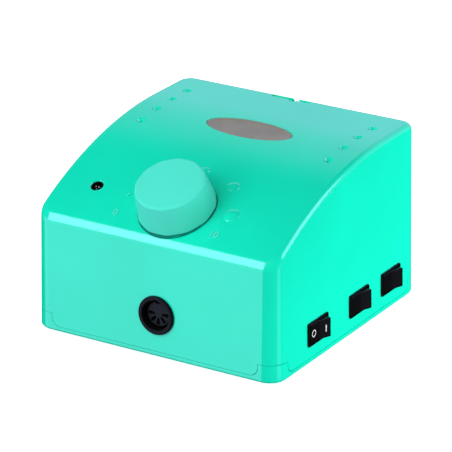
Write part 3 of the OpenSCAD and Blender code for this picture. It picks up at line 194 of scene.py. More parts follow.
class Form:
    """The drafted case with its arched top: its heights, outlines and places, in metres."""

    def __init__(self, sizes):
        self.s = sizes
        low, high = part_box("base_tray")
        self.mid = Vector(((low.x + high.x) / 2, (low.y + high.y) / 2, 0))
        self.lean = math.tan(sizes.draft)
        self.plan_x = sizes.width / 2 - sizes.corner_r
        self.plan_y = sizes.depth / 2 - sizes.corner_r
        self.floor_z = sizes.foot_h + sizes.floor_t
        self.dip_z = self.floor_z + sizes.parting_gap
        self.corner_z = sizes.foot_h + sizes.corner_rise

    def half_w(self, z):
        return self.s.width / 2 - (z - self.s.foot_h) * self.lean

    def half_d(self, z):
        return self.s.depth / 2 - (z - self.s.foot_h) * self.lean

    def top(self, y, drop=0.0):
        s = self.s
        if y > s.crown_y:
            return s.crown_z - drop
        return s.crown_z - s.top_r + math.sqrt((s.top_r - drop) ** 2 - (y - s.crown_y) ** 2)

    def tilt(self, y):
        return 0.0 if y > self.s.crown_y else math.asin((self.s.crown_y - y) / self.s.top_r)

    def place(self, x, y, z, turn, lean):
        """Frame at a point of the case, turned about z after it leans about x."""
        spot = Matrix.Translation(self.mid + Vector((x, y, z)))
        return spot @ Matrix.Rotation(turn, 4, "Z") @ Matrix.Rotation(lean, 4, "X")

    def on_top(self, x, y):
        return self.place(x, y, self.top(y), 0, self.tilt(y))

    def on_front(self, x, z):
        return self.place(x, -self.half_d(z), z, 0, math.pi / 2 - self.s.draft)

    def on_right(self, y, z):
        return self.place(self.half_w(z), y, z, math.pi / 2, math.pi / 2 - self.s.draft)

    def on_rear(self, x, z):
        return self.place(x, self.half_d(z), z, math.pi, math.pi / 2 - self.s.draft)

    def upright(self, x, y, z):
        return Matrix.Translation(self.mid + Vector((x, y, z)))

    def bit_spots(self):
        """Upright frames at the mouths of the bit holes."""
        return [self.upright(x, y, self.top(y)) for x in BIT_ROWS for y in BIT_PLACES]

    def half_plan(self):
        """Right half of the plan from front to rear: fixed points and the directions outwards."""
        turns = quarter(CORNER_STEPS)
        front = [(self.plan_x, -self.plan_y, math.sin(a), -math.cos(a)) for a in turns]
        rear = [(self.plan_x, self.plan_y, math.cos(a), math.sin(a)) for a in turns]
        n = self.s.steps
        side = [(self.plan_x, self.plan_y * (2 * i / n - 1), 1, 0) for i in range(1, n)]
        return front + side + rear

    def ring(self, inset, z=None, drop=0.0, blend=0.0):
        """Closed outline at a height, or along the arched top, with the surface's directions there."""
        half = []
        for ax, ay, dx, dy in self.half_plan():
            height = self.s.crown_z - drop if z is None else z
            for _ in range(SETTLE_ROUNDS):
                reach = self.s.corner_r - inset - (height - self.s.foot_h) * self.lean
                y = ay + dy * reach
                height = self.top(y, drop) if z is None else z
            wall = Vector((dx, dy, self.lean)).normalized()
            arch = Vector((0, -math.sin(self.tilt(y)), math.cos(self.tilt(y))))
            facing = (wall * math.cos(blend) + arch * math.sin(blend)).normalized()
            half.append((Vector((ax + dx * reach, y, height)), facing))
        flip = Vector((-1, 1, 1))
        both = half + [(p * flip, n * flip) for p, n in reversed(half)]
        return [(p + self.mid, n) for p, n in both]

    def edge_rings(self):
        """Outlines up the rounded edge round the top."""
        r = self.s.edge_r
        turns = quarter(EDGE_STEPS)
        return [self.ring(r * (1 - math.cos(a)), None, r * (1 - math.sin(a)), a) for a in turns]


def form():
    return Form(bpy.context.scene.drill_case)


def link(name, data):
    """A new object in the scene."""
    obj = bpy.data.objects.new(name, data)
    bpy.context.scene.collection.objects.link(obj)
    return obj


def mesh_object(name, points, faces):
    """A linked object with one closed mesh, its doubles merged and its faces outwards."""
    mesh = bpy.data.meshes.new(name)
    mesh.from_pydata([tuple(p) for p in points], [], faces)
    solid = bmesh.new()
    solid.from_mesh(mesh)
    bmesh.ops.remove_doubles(solid, verts=solid.verts, dist=1e-7)
    bmesh.ops.recalc_face_normals(solid, faces=solid.faces)
    solid.to_mesh(mesh)
    solid.free()
    return link(name, mesh)


def finished_mesh(obj):
    """The mesh that an object's modifiers, or its text, come to."""
    bpy.context.view_layer.update()
    graph = bpy.context.evaluated_depsgraph_get()
    return bpy.data.meshes.new_from_object(obj.evaluated_get(graph))


def plain(obj):
    """Turns an object's modifiers into plain mesh."""
    mesh = finished_mesh(obj)
    old = obj.data
    obj.modifiers.clear()
    obj.data = mesh
    bpy.data.meshes.remove(old)
    return obj


def discard(obj):
    mesh = obj.data
    bpy.data.objects.remove(obj)
    bpy.data.meshes.remove(mesh)


def carve(obj, *tools, operation="DIFFERENCE"):
    """Cuts closed tools out of an object, or adds them to it, and deletes them."""
    for tool in tools:
        step = obj.modifiers.new("carve", "BOOLEAN")
        step.operation = operation
        step.solver = "MANIFOLD"
        step.object = tool
    plain(obj)
    for tool in tools:
        discard(tool)
    return obj


def add(obj, *tools):
    return carve(obj, *tools, operation="UNION")


def soften(obj, width, segments=3):
    """Rounds an object's sharp edges."""
    step = obj.modifiers.new("soften", "BEVEL")
    step.width = width * MM
    step.segments = segments
    step.limit_method = "ANGLE"
    step.angle_limit = SHARP
    step.harden_normals = False
    return plain(obj)


def shade(obj, limit=SHARP):
    """Smooth shading with flat faces kept flat and sharp edges kept sharp."""
    obj.data.shade_smooth()
    obj.data.set_sharp_from_angle(angle=limit)
    step = obj.modifiers.new("shade", "WEIGHTED_NORMAL")
    step.keep_sharp = True
    return plain(obj)


def bands(rings, n):
    """Faces between neighbouring rings of n points each."""
    return [(k * n + i, k * n + (i + 1) % n, (k + 1) * n + (i + 1) % n, (k + 1) * n + i)
            for k in range(rings - 1) for i in range(n)]


def skin(name, rings):
    """Closed mesh over outlines that lie above each other, with its triangles and surface directions."""
    n = len(rings[0])
    last = (len(rings) - 1) * n
    faces = bands(len(rings), n)
    for i in range(n // 2 - 1):
        faces.append((last + i, last + i + 1, last + n - 2 - i, last + n - 1 - i))
        faces.append((n - 1 - i, n - 2 - i, i + 1, i))
    points = [p for ring in rings for p, _ in ring]
    facings = [d for ring in rings for _, d in ring]
    triangles = [t for f in faces for t in ((f[0], f[1], f[2]), (f[0], f[2], f[3]))]
    return mesh_object(name, points, faces), (points, triangles, facings)


def shade_like(obj, surface):
    """Gives what is left of a smooth form, after cuts, that form's own surface directions."""
    points, triangles, facings = surface
    tree = BVHTree.FromPolygons(points, triangles)

    def facing(spot):
        near, _, index, distance = tree.find_nearest(spot)
        ends = triangles[index]
        told = barycentric_transform(near, *[points[i] for i in ends], *[facings[i] for i in ends])
        return told.normalized(), distance

    mesh = obj.data
    mesh.shade_smooth()
    mesh.set_sharp_from_angle(angle=SHARP)
    directions = [Vector((0, 0, 0))] * len(mesh.loops)
    for face in mesh.polygons:
        told, distance = facing(face.center)
        if distance > NEAR_SURFACE or told.dot(face.normal) < ALIKE:
            continue
        for corner in face.loop_indices:
            directions[corner] = facing(mesh.vertices[mesh.loops[corner].vertex_index].co)[0]
    mesh.normals_split_custom_set(directions)
    return obj


def arc(x, z, r, start, end, steps=6):
    """Points of an arc in a profile, from one angle in degrees to another."""
    turns = [math.radians(start + (end - start) * i / steps) for i in range(steps + 1)]
    return [(x + r * math.cos(a), z + r * math.sin(a)) for a in turns]


def lathe(name, profile, place=Matrix(), sides=USUAL):
    """Turned solid: a profile of radii and heights in millimetres, closed on itself or at the axis."""
    points, rows = [], []
    for r, z in profile:
        if r <= 0:
            rows.append([len(points)] * sides)
            points.append(place @ mm(0, 0, z))
            continue
        rows.append(list(range(len(points), len(points) + sides)))
        points += [place @ mm(r * c, r * s, z) for c, s in around(sides)]
    if profile[0][0] > 0:
        rows.append(rows[0])
    faces = []
    for low, high in zip(rows, rows[1:]):
        for j in range(sides):
            k = (j + 1) % sides
            face = list(dict.fromkeys((low[j], low[k], high[k], high[j])))
            if len(face) > 2:
                faces.append(face)
    return mesh_object(name, points, faces)


def rod(name, r, low, high, place=Matrix(), sides=MIDDLE):
    return lathe(name, [(0, high), (r, high), (r, low), (0, low)], place, sides)


def prism(name, outline, low, high, place=Matrix()):
    """Straight solid over a flat outline in millimetres."""
    n = len(outline)
    points = [place @ mm(x, y, z) for z in (low, high) for x, y in outline]
    ends = [tuple(range(n - 1, -1, -1)), tuple(range(n, 2 * n))]
    return mesh_object(name, points, bands(2, n) + ends)


def block(name, w, h, low, high, place=Matrix()):
    outline = [(-w / 2, -h / 2), (w / 2, -h / 2), (w / 2, h / 2), (-w / 2, h / 2)]
    return prism(name, outline, low, high, place)


def oval(name, length, width, rows, place, sides):
    """Closed oval solid over rows of growths and heights, in millimetres."""
    points = [place @ mm((length / 2 + grow) * c, (width / 2 + grow) * s, z)
              for grow, z in rows for c, s in around(sides)]
    last = (len(rows) - 1) * sides
    ends = [tuple(range(sides)), tuple(range(last, last + sides))]
    return mesh_object(name, points, bands(len(rows), sides) + ends)


def round_outline(w, h, r, steps=6):
    """Rectangle with round corners."""
    outline = []
    for sx, sy, start in ((1, -1, -90), (1, 1, 0), (-1, 1, 90), (-1, -1, 180)):
        outline += arc(sx * (w / 2 - r), sy * (h / 2 - r), r, start, start + 90, steps)
    return outline


def hex_outline(width):
    r = width / math.sqrt(3)
    return [(r * c, r * s) for c, s in around(6)]


def shifted(place, x=0.0, y=0.0, z=0.0):
    return place @ Matrix.Translation(mm(x, y, z))


class Wire:
    """An output of a node. Arithmetic on wires adds Math nodes."""

    def __init__(self, sheet, socket):
        self.sheet = sheet
        self.socket = socket

    def math(self, operation, *values):
        return self.sheet.node("ShaderNodeMath", {"operation": operation}, dict(enumerate(values)))

    def out(self, name):
        """Another output of the same node."""
        return Wire(self.sheet, self.socket.node.outputs[name])

    def __add__(self, other):
        return self.math("ADD", self, other)

    def __radd__(self, other):
        return self.math("ADD", other, self)

    def __sub__(self, other):
        return self.math("SUBTRACT", self, other)

    def __rsub__(self, other):
        return self.math("SUBTRACT", other, self)

    def __mul__(self, other):
        return self.math("MULTIPLY", self, other)

    def __rmul__(self, other):
        return self.math("MULTIPLY", other, self)

    def __truediv__(self, other):
        return self.math("DIVIDE", self, other)

    def __neg__(self):
        return self.math("MULTIPLY", self, -1.0)

    def ease(self, low, high):
        """Smooth step from 0 at low to 1 at high."""
        return self.sheet.node(
            "ShaderNodeMapRange", {"interpolation_type": "SMOOTHSTEP"},
            {"Value": self, "From Min": low, "From Max": high})


class Sheet:
    """A node tree of a finish, of the studio or of a shape that follows a rule."""

    def __init__(self, tree):
        self.tree = tree

    def node(self, kind, settings=None, inputs=None, output=0):
        """Adds a node: its settings first, then the values or wires of its sockets."""
        node = self.tree.nodes.new(kind)
        for key, value in (settings or {}).items():
            setattr(node, key, value)
        for key, value in (inputs or {}).items():
            if isinstance(value, Wire):
                self.tree.links.new(value.socket, node.inputs[key])
            else:
                node.inputs[key].default_value = value
        return Wire(self, node.outputs[output])

    def vector(self, x, y, z):
        return self.node("ShaderNodeCombineXYZ", {}, {0: x, 1: y, 2: z})

    def parts(self, wire):
        """The x, y and z of a vector."""
        split = self.node("ShaderNodeSeparateXYZ", {}, {0: wire})
        return split, split.out("Y"), split.out("Z")

    def blend(self, factor, first, second):
        """Mix of two colours."""
        pair = [c if isinstance(c, Wire) else (*c, 1.0) for c in (first, second)]
        return self.node(
            "ShaderNodeMix", {"data_type": "RGBA"}, {0: factor, 6: pair[0], 7: pair[1]}, output=2)


class Finish(Sheet):
    """One procedural material: a principled shader and what feeds it."""

    def __init__(self, name, **constants):
        self.material = bpy.data.materials.new(name)
        self.material.use_nodes = True
        super().__init__(self.material.node_tree)
        self.tree.nodes.clear()
        self.shader = self.tree.nodes.new("ShaderNodeBsdfPrincipled")
        end = self.tree.nodes.new("ShaderNodeOutputMaterial")
        self.tree.links.new(self.shader.outputs[0], end.inputs["Surface"])
        for key, value in constants.items():
            self.shader.inputs[key.replace("_", " ")].default_value = value
        self.spot = self.node("ShaderNodeTexCoord", output="Object")

    def feed(self, socket, wire):
        self.tree.links.new(wire.socket, self.shader.inputs[socket])

    def noise(self, scale, detail=2.0, stretch=(1, 1, 1)):
        """Noise from 0 to 1, with its grain drawn out along an axis where stretch is small."""
        spot = self.node("ShaderNodeMapping", {}, {"Vector": self.spot, "Scale": stretch})
        return self.node("ShaderNodeTexNoise", {}, {"Vector": spot, "Scale": scale, "Detail": detail})

    def bump(self, height, strength, distance):
        self.feed("Normal", self.node(
            "ShaderNodeBump", {}, {"Height": height, "Strength": strength, "Distance": distance * MM}))


def toned(tone, factor):
    return tuple(min(1.0, c * factor) for c in tone)


def plastic(name, tone, roughness, grain=0.05, shine=0.5):
    """Moulded plastic: faint flow tones, a fine skin and a slightly uneven gloss."""
    f = Finish(name, IOR=1.5, Specular_IOR_Level=shine)
    flow = f.noise(18, 2)
    skin_grain = f.noise(1400, 2)
    haze = f.noise(55, 3)
    f.feed("Base Color", f.blend(flow.ease(0.3, 0.7), toned(tone, 0.965), toned(tone, 1.03)))
    f.feed("Roughness", roughness + (haze - 0.5) * 0.07 + (skin_grain - 0.5) * 0.04)
    f.bump(skin_grain, grain, 0.05)
    return f.material


def metal(name, tone, roughness, stretch=(1, 1, 1), sheen=1.0):
    """Metal with drawn grain, faint stains and uneven polish; a lacquered one has less sheen."""
    f = Finish(name, Metallic=sheen)
    drawn = f.noise(900, 4, stretch)
    stain = f.noise(120, 3)
    f.feed("Base Color", f.blend(stain.ease(0.25, 0.75), toned(tone, 0.86), toned(tone, 1.06)))
    f.feed("Roughness", roughness + (drawn - 0.5) * 0.25 + (stain - 0.5) * 0.12)
    f.bump(drawn, 0.12, 0.05)
    return f.material


def rubber(name, tone):
    """Soft rubber with a fine dull texture and dust."""
    f = Finish(name, IOR=1.5, Specular_IOR_Level=0.15)
    dust = f.noise(300, 4)
    f.feed("Base Color", f.blend(dust.ease(0.45, 0.9), tone, toned(tone, 2.2)))
    f.feed("Roughness", 0.72 + (dust - 0.5) * 0.2)
    f.bump(f.noise(2200, 2), 0.25, 0.08)
    return f.material


class Finishes:
    """The finishes, each made once when it is first asked for."""
    made = {}

    @classmethod
    def get(cls, name):
        if name not in cls.made:
            cls.made[name] = cls.recipe(name)
        return cls.made[name]

    @staticmethod
    def recipe(name):
        tones = bpy.context.scene.drill_colours
        recipes = {
            "case": lambda: plastic("glossy case plastic", tones.case, 0.12, 0.03),
            "knob": lambda: plastic("satin knob plastic", tones.knob, 0.50, 0.06, 0.2),
            "black": lambda: plastic("black switch plastic", tones.black, 0.40, 0.08, 0.1),
            "gloss_black": lambda: plastic("glossy black plastic", tones.black, 0.30, 0.02, 0.15),
            "socket": lambda: plastic("dark grey socket plastic", (0.012, 0.013, 0.014), 0.45, 0.08, 0.1),
            "white": lambda: plastic("white switch print", (0.82, 0.84, 0.85), 0.4, 0.03),
            "badge": lambda: metal("brushed badge metal", tones.badge, 0.50, (0.03, 1, 1), 0.25),
            "steel": lambda: metal("plated steel", (0.55, 0.56, 0.58), 0.3),
            "sink": lambda: metal("drawn aluminium", (0.62, 0.63, 0.65), 0.4, (1, 1, 0.05)),
            "brass": lambda: metal("brass", (0.72, 0.52, 0.18), 0.28),
            "core": lambda: metal("stacked core steel", (0.16, 0.165, 0.18), 0.5, (12, 0.2, 0.2)),
            "rubber": lambda: rubber("foot rubber", (0.018, 0.018, 0.019)),
            # Painted shade: a dark ring under the knob stands in for the shadow in the gap below its skirt
            "shade_ring": lambda: rubber("dark knob felt", (0.002, 0.22, 0.17)),
            "cream": lambda: plastic("cream nylon", (0.78, 0.74, 0.62), 0.45),
            "tape": lambda: plastic("yellow winding tape", (0.70, 0.46, 0.05), 0.35, 0.15),
            "board": lambda: plastic("green board lacquer", (0.012, 0.13, 0.045), 0.3, 0.1),
            "capacitor": lambda: plastic("blue sleeve", (0.02, 0.03, 0.12), 0.25),
            "glass": lambda: plastic("fuse glass", (0.70, 0.74, 0.74), 0.08),
            "lamp": lambda: plastic("dark lamp lens", (0.006, 0.005, 0.005), 0.06, 0.01),
            # Painted highlight: pale beads on the dark lens paint its two glints and stand for the dies
            # inside
            "glint_bead": lambda: plastic("lamp die", (0.55, 0.50, 0.50), 0.3),
            "brown": lambda: plastic("brown lead", (0.17, 0.05, 0.02), 0.4),
            "red": lambda: plastic("red lead", (0.50, 0.02, 0.02), 0.4),
            "yellow": lambda: plastic("yellow lead", (0.62, 0.50, 0.05), 0.4),
        }
        return recipes[name]()


class Rule(Sheet):
    """A Geometry Nodes tree with named inputs, which ends as a plain mesh."""
    KINDS = {int: "NodeSocketInt", float: "NodeSocketFloat", bpy.types.Object: "NodeSocketObject"}

    def __init__(self, name, **inputs):
        super().__init__(bpy.data.node_groups.new(name, "GeometryNodeTree"))
        face = self.tree.interface
        face.new_socket("Mesh", in_out="OUTPUT", socket_type="NodeSocketGeometry")
        face.new_socket("Base mesh", in_out="INPUT", socket_type="NodeSocketGeometry")
        self.settings = {}
        for key, value in inputs.items():
            socket = face.new_socket(key, in_out="INPUT", socket_type=self.KINDS[type(value)])
            self.settings[socket.identifier] = value
        self.entry = self.tree.nodes.new("NodeGroupInput")

    def value(self, name):
        return Wire(self, self.entry.outputs[name])

    def grow(self, obj, shape, finish):
        """Ends the tree, runs it on an object and leaves a plain mesh."""
        real = self.node("GeometryNodeRealizeInstances", {}, {0: shape})
        done = self.node("GeometryNodeSetMaterial", {}, {0: real, "Material": Finishes.get(finish)})
        end = self.tree.nodes.new("NodeGroupOutput")
        self.tree.links.new(done.socket, end.inputs[0])
        step = obj.modifiers.new(self.tree.name, "NODES")
        step.node_group = self.tree
        for identifier, value in self.settings.items():
            step[identifier] = value
        return plain(obj)


def repeat_on_corners(name, shape, half, place, finish):
    """Copies a shape to the four corners of a rectangle and deletes the pattern."""
    rule = Rule(name + " corners", Across=2 * half[0], Along=2 * half[1], Shape=shape)
    grid = rule.node(
        "GeometryNodeMeshGrid", {},
        {"Size X": rule.value("Across"), "Size Y": rule.value("Along"), "Vertices X": 2, "Vertices Y": 2})
    one = rule.node("GeometryNodeObjectInfo", {}, {"Object": rule.value("Shape")}, output="Geometry")
    copies = rule.node("GeometryNodeInstanceOnPoints", {}, {"Points": grid, "Instance": one})
    obj = rule.grow(mesh_object(name, [], []), copies, finish)
    obj.data.transform(place)
    discard(shape)
    return obj


def hand_over(obj, body, finish, *nodes):
    """Gives a piece its finish and the body that it rides on, and hides the solids that it stands for."""
    obj.data.materials.clear()
    obj.data.materials.append(Finishes.get(finish))
    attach(obj, body)
    if nodes:
        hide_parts(*nodes)
    return obj


class Piece:
    """What every maker of a piece shares."""
    bl_options = {"REGISTER", "UNDO"}

    @property
    def trim(self):
        return bpy.context.scene.drill_trim


def dip_outline(f, half, grow):
    """Tongue of the case that dips between two corners of the tray, in millimetres."""
    r = f.s.dip_r / MM
    low = f.dip_z / MM - grow
    half = half / MM + grow
    tall = low + 3 * r + f.corner_z / MM
    return ([(-half, tall)] + arc(-half + r, low + r, r, 180, 270, DIP_STEPS)
            + arc(half - r, low + r, r, 270, 360, DIP_STEPS) + [(half, tall)])


def dips(f, grow):
    """Two crossed bars with that outline."""
    reach = f.s.depth / MM
    bars = []
    for length, turn in ((f.s.width, 0.0), (f.s.depth, math.pi / 2)):
        lying = Matrix.Rotation(turn, 4, "Z") @ Matrix.Rotation(math.pi / 2, 4, "X")
        outline = dip_outline(f, length / 2 - f.s.dip_side, grow)
        bars.append(prism("dip", outline, -reach, reach, Matrix.Translation(f.mid) @ lying))
    return bars


# How far a cutter reaches past a wall, the top or a face, in millimetres, and a length past everything
PAST_WALL = 5
PAST_TOP = 4
PAST_FACE = 3
PAST_ALL = 400
# Posts and bosses inside, in millimetres: radii, depths, and the room under the posts
POST_R = 4
POST_LIFT = 6
POST_REACH = 90
BOSS_TOP = 2
BOSS_DEPTH = 5
KNOB_BOSS_R = 10.6
LAMP_BOSS_R = 4.75
BIT_BOSS_R = 2.85
BIT_BOSS_DEPTH = 12.2
REST_BOSS_W = 6.7
REST_BOSS_DEPTH = 7.6
REST_BOSS_EXTRA = 3.2
# Openings in the top, in millimetres: turned profiles, the rest's groove and slot, and the badge's pocket
KNOB_SEAT = [(0, 3), (6.4, 3), (6.4, -0.2), (4.1, -0.2), (4.1, -6), (0, -6)]
LAMP_MOUTH = [(0, 3), (3.4, 3), (3.4, 0.02), (3.05, -0.25), (2.95, -0.5), (2.95, -6), (0, -6)]
BIT_HOLE = [(0, 2), (4.2, 2), (2.2, 0), (1.25, -0.95), (1.25, -11), (0, -11)]
GROOVE_DEPTH = 1.3
GROOVE_ROUND = 0.4
SLOT_W = 3.5
SLOT_DEPTH = 6
SLOT_ROUND = 0.6
BADGE_PLAY = 0.3
BADGE_RECESS = 0.8
POCKET_ROWS = [(0, -BADGE_RECESS), (0, -0.25), (0.25, 0.0), (1.0, 0.75)]
POCKET_SIDES = 128
# Openings in the walls, in millimetres
SOCKET_HOLE_R = 8.3
SWITCH_HOLE = (16.8, 11)
INLET_HOLE = (27.8, 20.2)
INLET_SCREW_X = 20
INLET_SCREW_HOLE_R = 1.6
FUSE_HOLE_R = 6.1
JACK_HOLE_R = 4.55


class DRILLBOX_OT_case(Piece, bpy.types.Operator):
    """Upper shell of the case with its openings"""
    bl_idname = "drillbox.case"
    bl_label = "Case shell"

    def hollow(self, f):
        """The space inside, less the posts and bosses that stand in it."""
        wall, t = f.s.wall, self.trim
        inner, _ = skin("hollow", [
            f.ring(wall, f.s.foot_h - MM), f.ring(wall, None, wall + MM), f.ring(wall + MM, None, wall)])
        bosses = [rod("post", POST_R, 0, POST_REACH, f.upright(x, y, f.floor_z + POST_LIFT * MM))
                  for x, y in corners(POSTS)]
        bosses.append(rod("boss", KNOB_BOSS_R, -BOSS_DEPTH, BOSS_TOP, f.on_top(t.knob_x, t.knob_y)))
        bosses.append(rod("boss", LAMP_BOSS_R, -BOSS_DEPTH, BOSS_TOP, f.on_top(*LAMP)))
        bosses += [rod("boss", BIT_BOSS_R, -BIT_BOSS_DEPTH, BOSS_TOP, spot) for spot in f.bit_spots()]
        rest = f.upright(SLOT_X, f.s.depth / 2 - SLOT_REACH / 2, f.s.crown_z)
        bosses.append(block(
            "boss", REST_BOSS_W, SLOT_REACH / MM + REST_BOSS_EXTRA, -REST_BOSS_DEPTH, BOSS_TOP, rest))
        return carve(inner, *bosses)

    def mouths(self, f):
        """Openings for the knob, lamp, badge, bits and handpiece rest in the top."""
        t = self.trim
        tools = [lathe("bore", KNOB_SEAT, f.on_top(t.knob_x, t.knob_y))]
        tools.append(lathe("bore", LAMP_MOUTH, f.on_top(*LAMP)))
        tools += [lathe("bore", BIT_HOLE, spot, SMALL) for spot in f.bit_spots()]
        tools.append(oval(
            "pocket", t.badge_l / MM + BADGE_PLAY, t.badge_w / MM + BADGE_PLAY, POCKET_ROWS,
            f.on_top(BADGE_X, t.badge_y), POCKET_SIDES))
        groove = f.upright(GROOVE_X, f.s.depth / 2 - GROOVE_END - GROOVE_W / 2, f.s.crown_z)
        outline = round_outline(GROOVE_L / MM, GROOVE_W / MM, GROOVE_ROUND)
        tools.append(prism("groove", outline, -GROOVE_DEPTH, PAST_TOP, groove))
        slot = f.upright(SLOT_X, f.s.depth / 2, f.s.crown_z)
        outline = round_outline(SLOT_W, 2 * SLOT_REACH / MM, SLOT_ROUND)
        tools.append(prism("slot", outline, -SLOT_DEPTH, PAST_TOP, slot))
        return tools

    def wall_holes(self, f):
        """Openings for the motor socket, the switches and the rear fittings."""
        t = self.trim
        reach = (-PAST_WALL, PAST_WALL)
        inlet = f.on_rear(*INLET)
        tools = [rod("hole", SOCKET_HOLE_R, *reach, f.on_front(t.socket_x, t.socket_z), USUAL)]
        tools += [block("hole", *SWITCH_HOLE, *reach, f.on_right(y, t.switch_z)) for _, y in SWITCHES]
        tools.append(block("hole", *INLET_HOLE, *reach, inlet))
        spots = [shifted(inlet, s * INLET_SCREW_X) for s in (-1, 1)]
        tools += [rod("hole", INLET_SCREW_HOLE_R, *reach, spot) for spot in spots]
        tools.append(rod("hole", FUSE_HOLE_R, *reach, f.on_rear(*FUSE)))
        tools.append(rod("hole", JACK_HOLE_R, *reach, f.on_rear(*JACK)))
        return tools

    def execute(self, context):
        f = form()
        shell, surface = skin("case_shell", [f.ring(0, f.s.foot_h)] + f.edge_rings())
        line = (f.corner_z + f.s.parting_gap) / MM
        under = block("under", PAST_ALL, PAST_ALL, -PAST_WALL, line, Matrix.Translation(f.mid))
        carve(under, *dips(f, 0))
        carve(shell, self.hollow(f), under)
        carve(shell, *self.mouths(f), *self.wall_holes(f))
        shade_like(shell, surface)
        hand_over(shell, "case", "case", "upper_housing")
        return {"FINISHED"}


# Tray: bosses round the case screws and pockets in its underside, in millimetres
TRAY_BOSS_FOOT = 1
TRAY_BOSS_TOP = 8.7
SCREW_POCKET = [(0, 12), (1.6, 12), (1.6, 2.8), (2.9, 2.8), (2.9, -1), (0, -1)]
FOOT_POCKET_R = 6.1
FOOT_POCKET_DEPTH = 0.8


class DRILLBOX_OT_tray(Piece, bpy.types.Operator):
    """Base tray with its raised corners and pockets"""
    bl_idname = "drillbox.tray"
    bl_label = "Base tray"

    def execute(self, context):
        f = form()
        edge, low = f.s.tray_edge, f.s.foot_h
        rings = [f.ring(edge * (1 - math.sin(a)), low + edge * (1 - math.cos(a)))
                 for a in quarter(TRAY_EDGE_STEPS)]
        rings.append(f.ring(0, f.corner_z))
        tray, _ = skin("tray_shell", rings)
        inner, _ = skin("hollow", [f.ring(f.s.wall, f.floor_z), f.ring(f.s.wall, f.corner_z + MM)])
        carve(tray, inner, *dips(f, f.s.parting_gap / MM))
        posts = [f.upright(x, y, low) for x, y in corners(POSTS)]
        feet = [f.upright(x, y, low) for x, y in corners(FEET)]
        add(tray, *[rod("boss", POST_R, TRAY_BOSS_FOOT, TRAY_BOSS_TOP, spot) for spot in posts])
        pockets = [lathe("pocket", SCREW_POCKET, spot, SMALL) for spot in posts]
        pockets += [rod("pocket", FOOT_POCKET_R, -1, FOOT_POCKET_DEPTH, spot) for spot in feet]
        carve(tray, *pockets)
        hand_over(shade(tray), "case", "case", "base_tray")
        return {"FINISHED"}


# A dot is the cap of a bead: its sink in dot heights, and the bead's radius in dot radii
DOT_SINK = 0.8
DOT_SPREAD = 1.25
BEAD = {"Segments": 48, "Rings": 24, "Radius": 1.0}


class DRILLBOX_OT_speed_dots(Piece, bpy.types.Operator):
    """Raised dots of growing size round the knob"""
    bl_idname = "drillbox.speed_dots"
    bl_label = "Speed dots"

    def execute(self, context):
        f, t = form(), self.trim
        rule = Rule(
            "speed dots", Dots=t.dots, Ring=t.dot_ring, First=t.dot_first, Growth=t.dot_growth,
            Height=t.dot_h, Start=t.dot_start, Step=t.dot_step, Radius=f.s.top_r)
        index = rule.node("GeometryNodeInputIndex")
        turn = rule.value("Start") - index * rule.value("Step")
        flatten = math.cos(f.tilt(t.knob_y))
        x = rule.value("Ring") * turn.math("COSINE", turn) + t.knob_x
        y = rule.value("Ring") * turn.math("SINE", turn) * flatten + t.knob_y
        back = f.s.crown_y - y
        arch = rule.value("Radius")
        square = arch * arch - back * back
        level = square.math("SQRT", square)
        depth = 1 - DOT_SINK * rule.value("Height") / arch
        spot = rule.vector(
            x + f.mid.x, f.s.crown_y + f.mid.y - back * depth, level * depth + (f.s.crown_z - f.s.top_r))
        places = rule.node("GeometryNodePoints", {}, {"Count": rule.value("Dots"), "Position": spot})
        lean = back.math("ARCSINE", back / arch)
        turned = rule.node("FunctionNodeEulerToRotation", {}, {0: rule.vector(lean, 0.0, 0.0)})
        radius = (rule.value("First") + index * rule.value("Growth")) * DOT_SPREAD
        bead = rule.node("GeometryNodeMeshUVSphere", {}, BEAD)
        dots = rule.node("GeometryNodeInstanceOnPoints", {}, {
            "Points": places, "Instance": bead, "Rotation": turned,
            "Scale": rule.vector(radius, radius, rule.value("Height") * (1 + DOT_SINK))})
        obj = rule.grow(mesh_object("speed_dots", [], []), dots, "case")
        obj.data.shade_smooth()
        hand_over(obj, "case", "case")
        return {"FINISHED"}


# Raised numbers: half their thickness and the rounding of their edges
NUMBER_RELIEF = 0.30 * MM
NUMBER_BEVEL = 0.08 * MM


class DRILLBOX_OT_dial_numbers(Piece, bpy.types.Operator):
    """Plain raised numbers at the slow and the fast end of the dial"""
    bl_idname = "drillbox.dial_numbers"
    bl_label = "Dial numbers"

    def execute(self, context):
        f, t = form(), self.trim
        for name, words, spot in zip(("low", "high"), (t.low_number, t.high_number), NUMBER_PLACES):
            text = bpy.data.curves.new("number", "FONT")
            text.body = words
            text.size = t.number_h
            text.extrude = NUMBER_RELIEF
            text.bevel_depth = NUMBER_BEVEL
            text.bevel_resolution = 2
            text.align_x = "CENTER"
            text.align_y = "CENTER"
            pen = link("number", text)
            mesh = finished_mesh(pen)
            bpy.data.objects.remove(pen)
            mesh.transform(f.on_top(*spot))
            hand_over(link(f"dial_number_{name}", mesh), "case", "knob")
        return {"FINISHED"}


# Knob, in millimetres: its wall and roof, the hub round its insert, and radii of the rings in its flat top
KNOB_WALL = 2
KNOB_ROOF = 2.4
HUB_R = 7.2
HUB_FOOT = 3.2
INSERT_R = 5.05
CROWN_RADII = (0, 4, 8, 11, 13)
SKIRT_STEPS = 10
# Insets and heights of the skirt's rounded foot
KNOB_FOOT = ((0.05, 0.5), (0.15, 0.15), (0.45, 0))
# Flutes fade in over these shares of the rim's radius
FLUTE_FADE = (0.97, 1.06)
# Dark ring under the knob, which paints the shade in the gap between the knob and the panel, in millimetres
SHADE_RING_OVERHANG = 0.25
SHADE_RING_INNER = 1.9
SHADE_RING_SINK = 0.9
SHADE_RING_GAP = 0.15
SHADE_RING_EDGE = 0.2


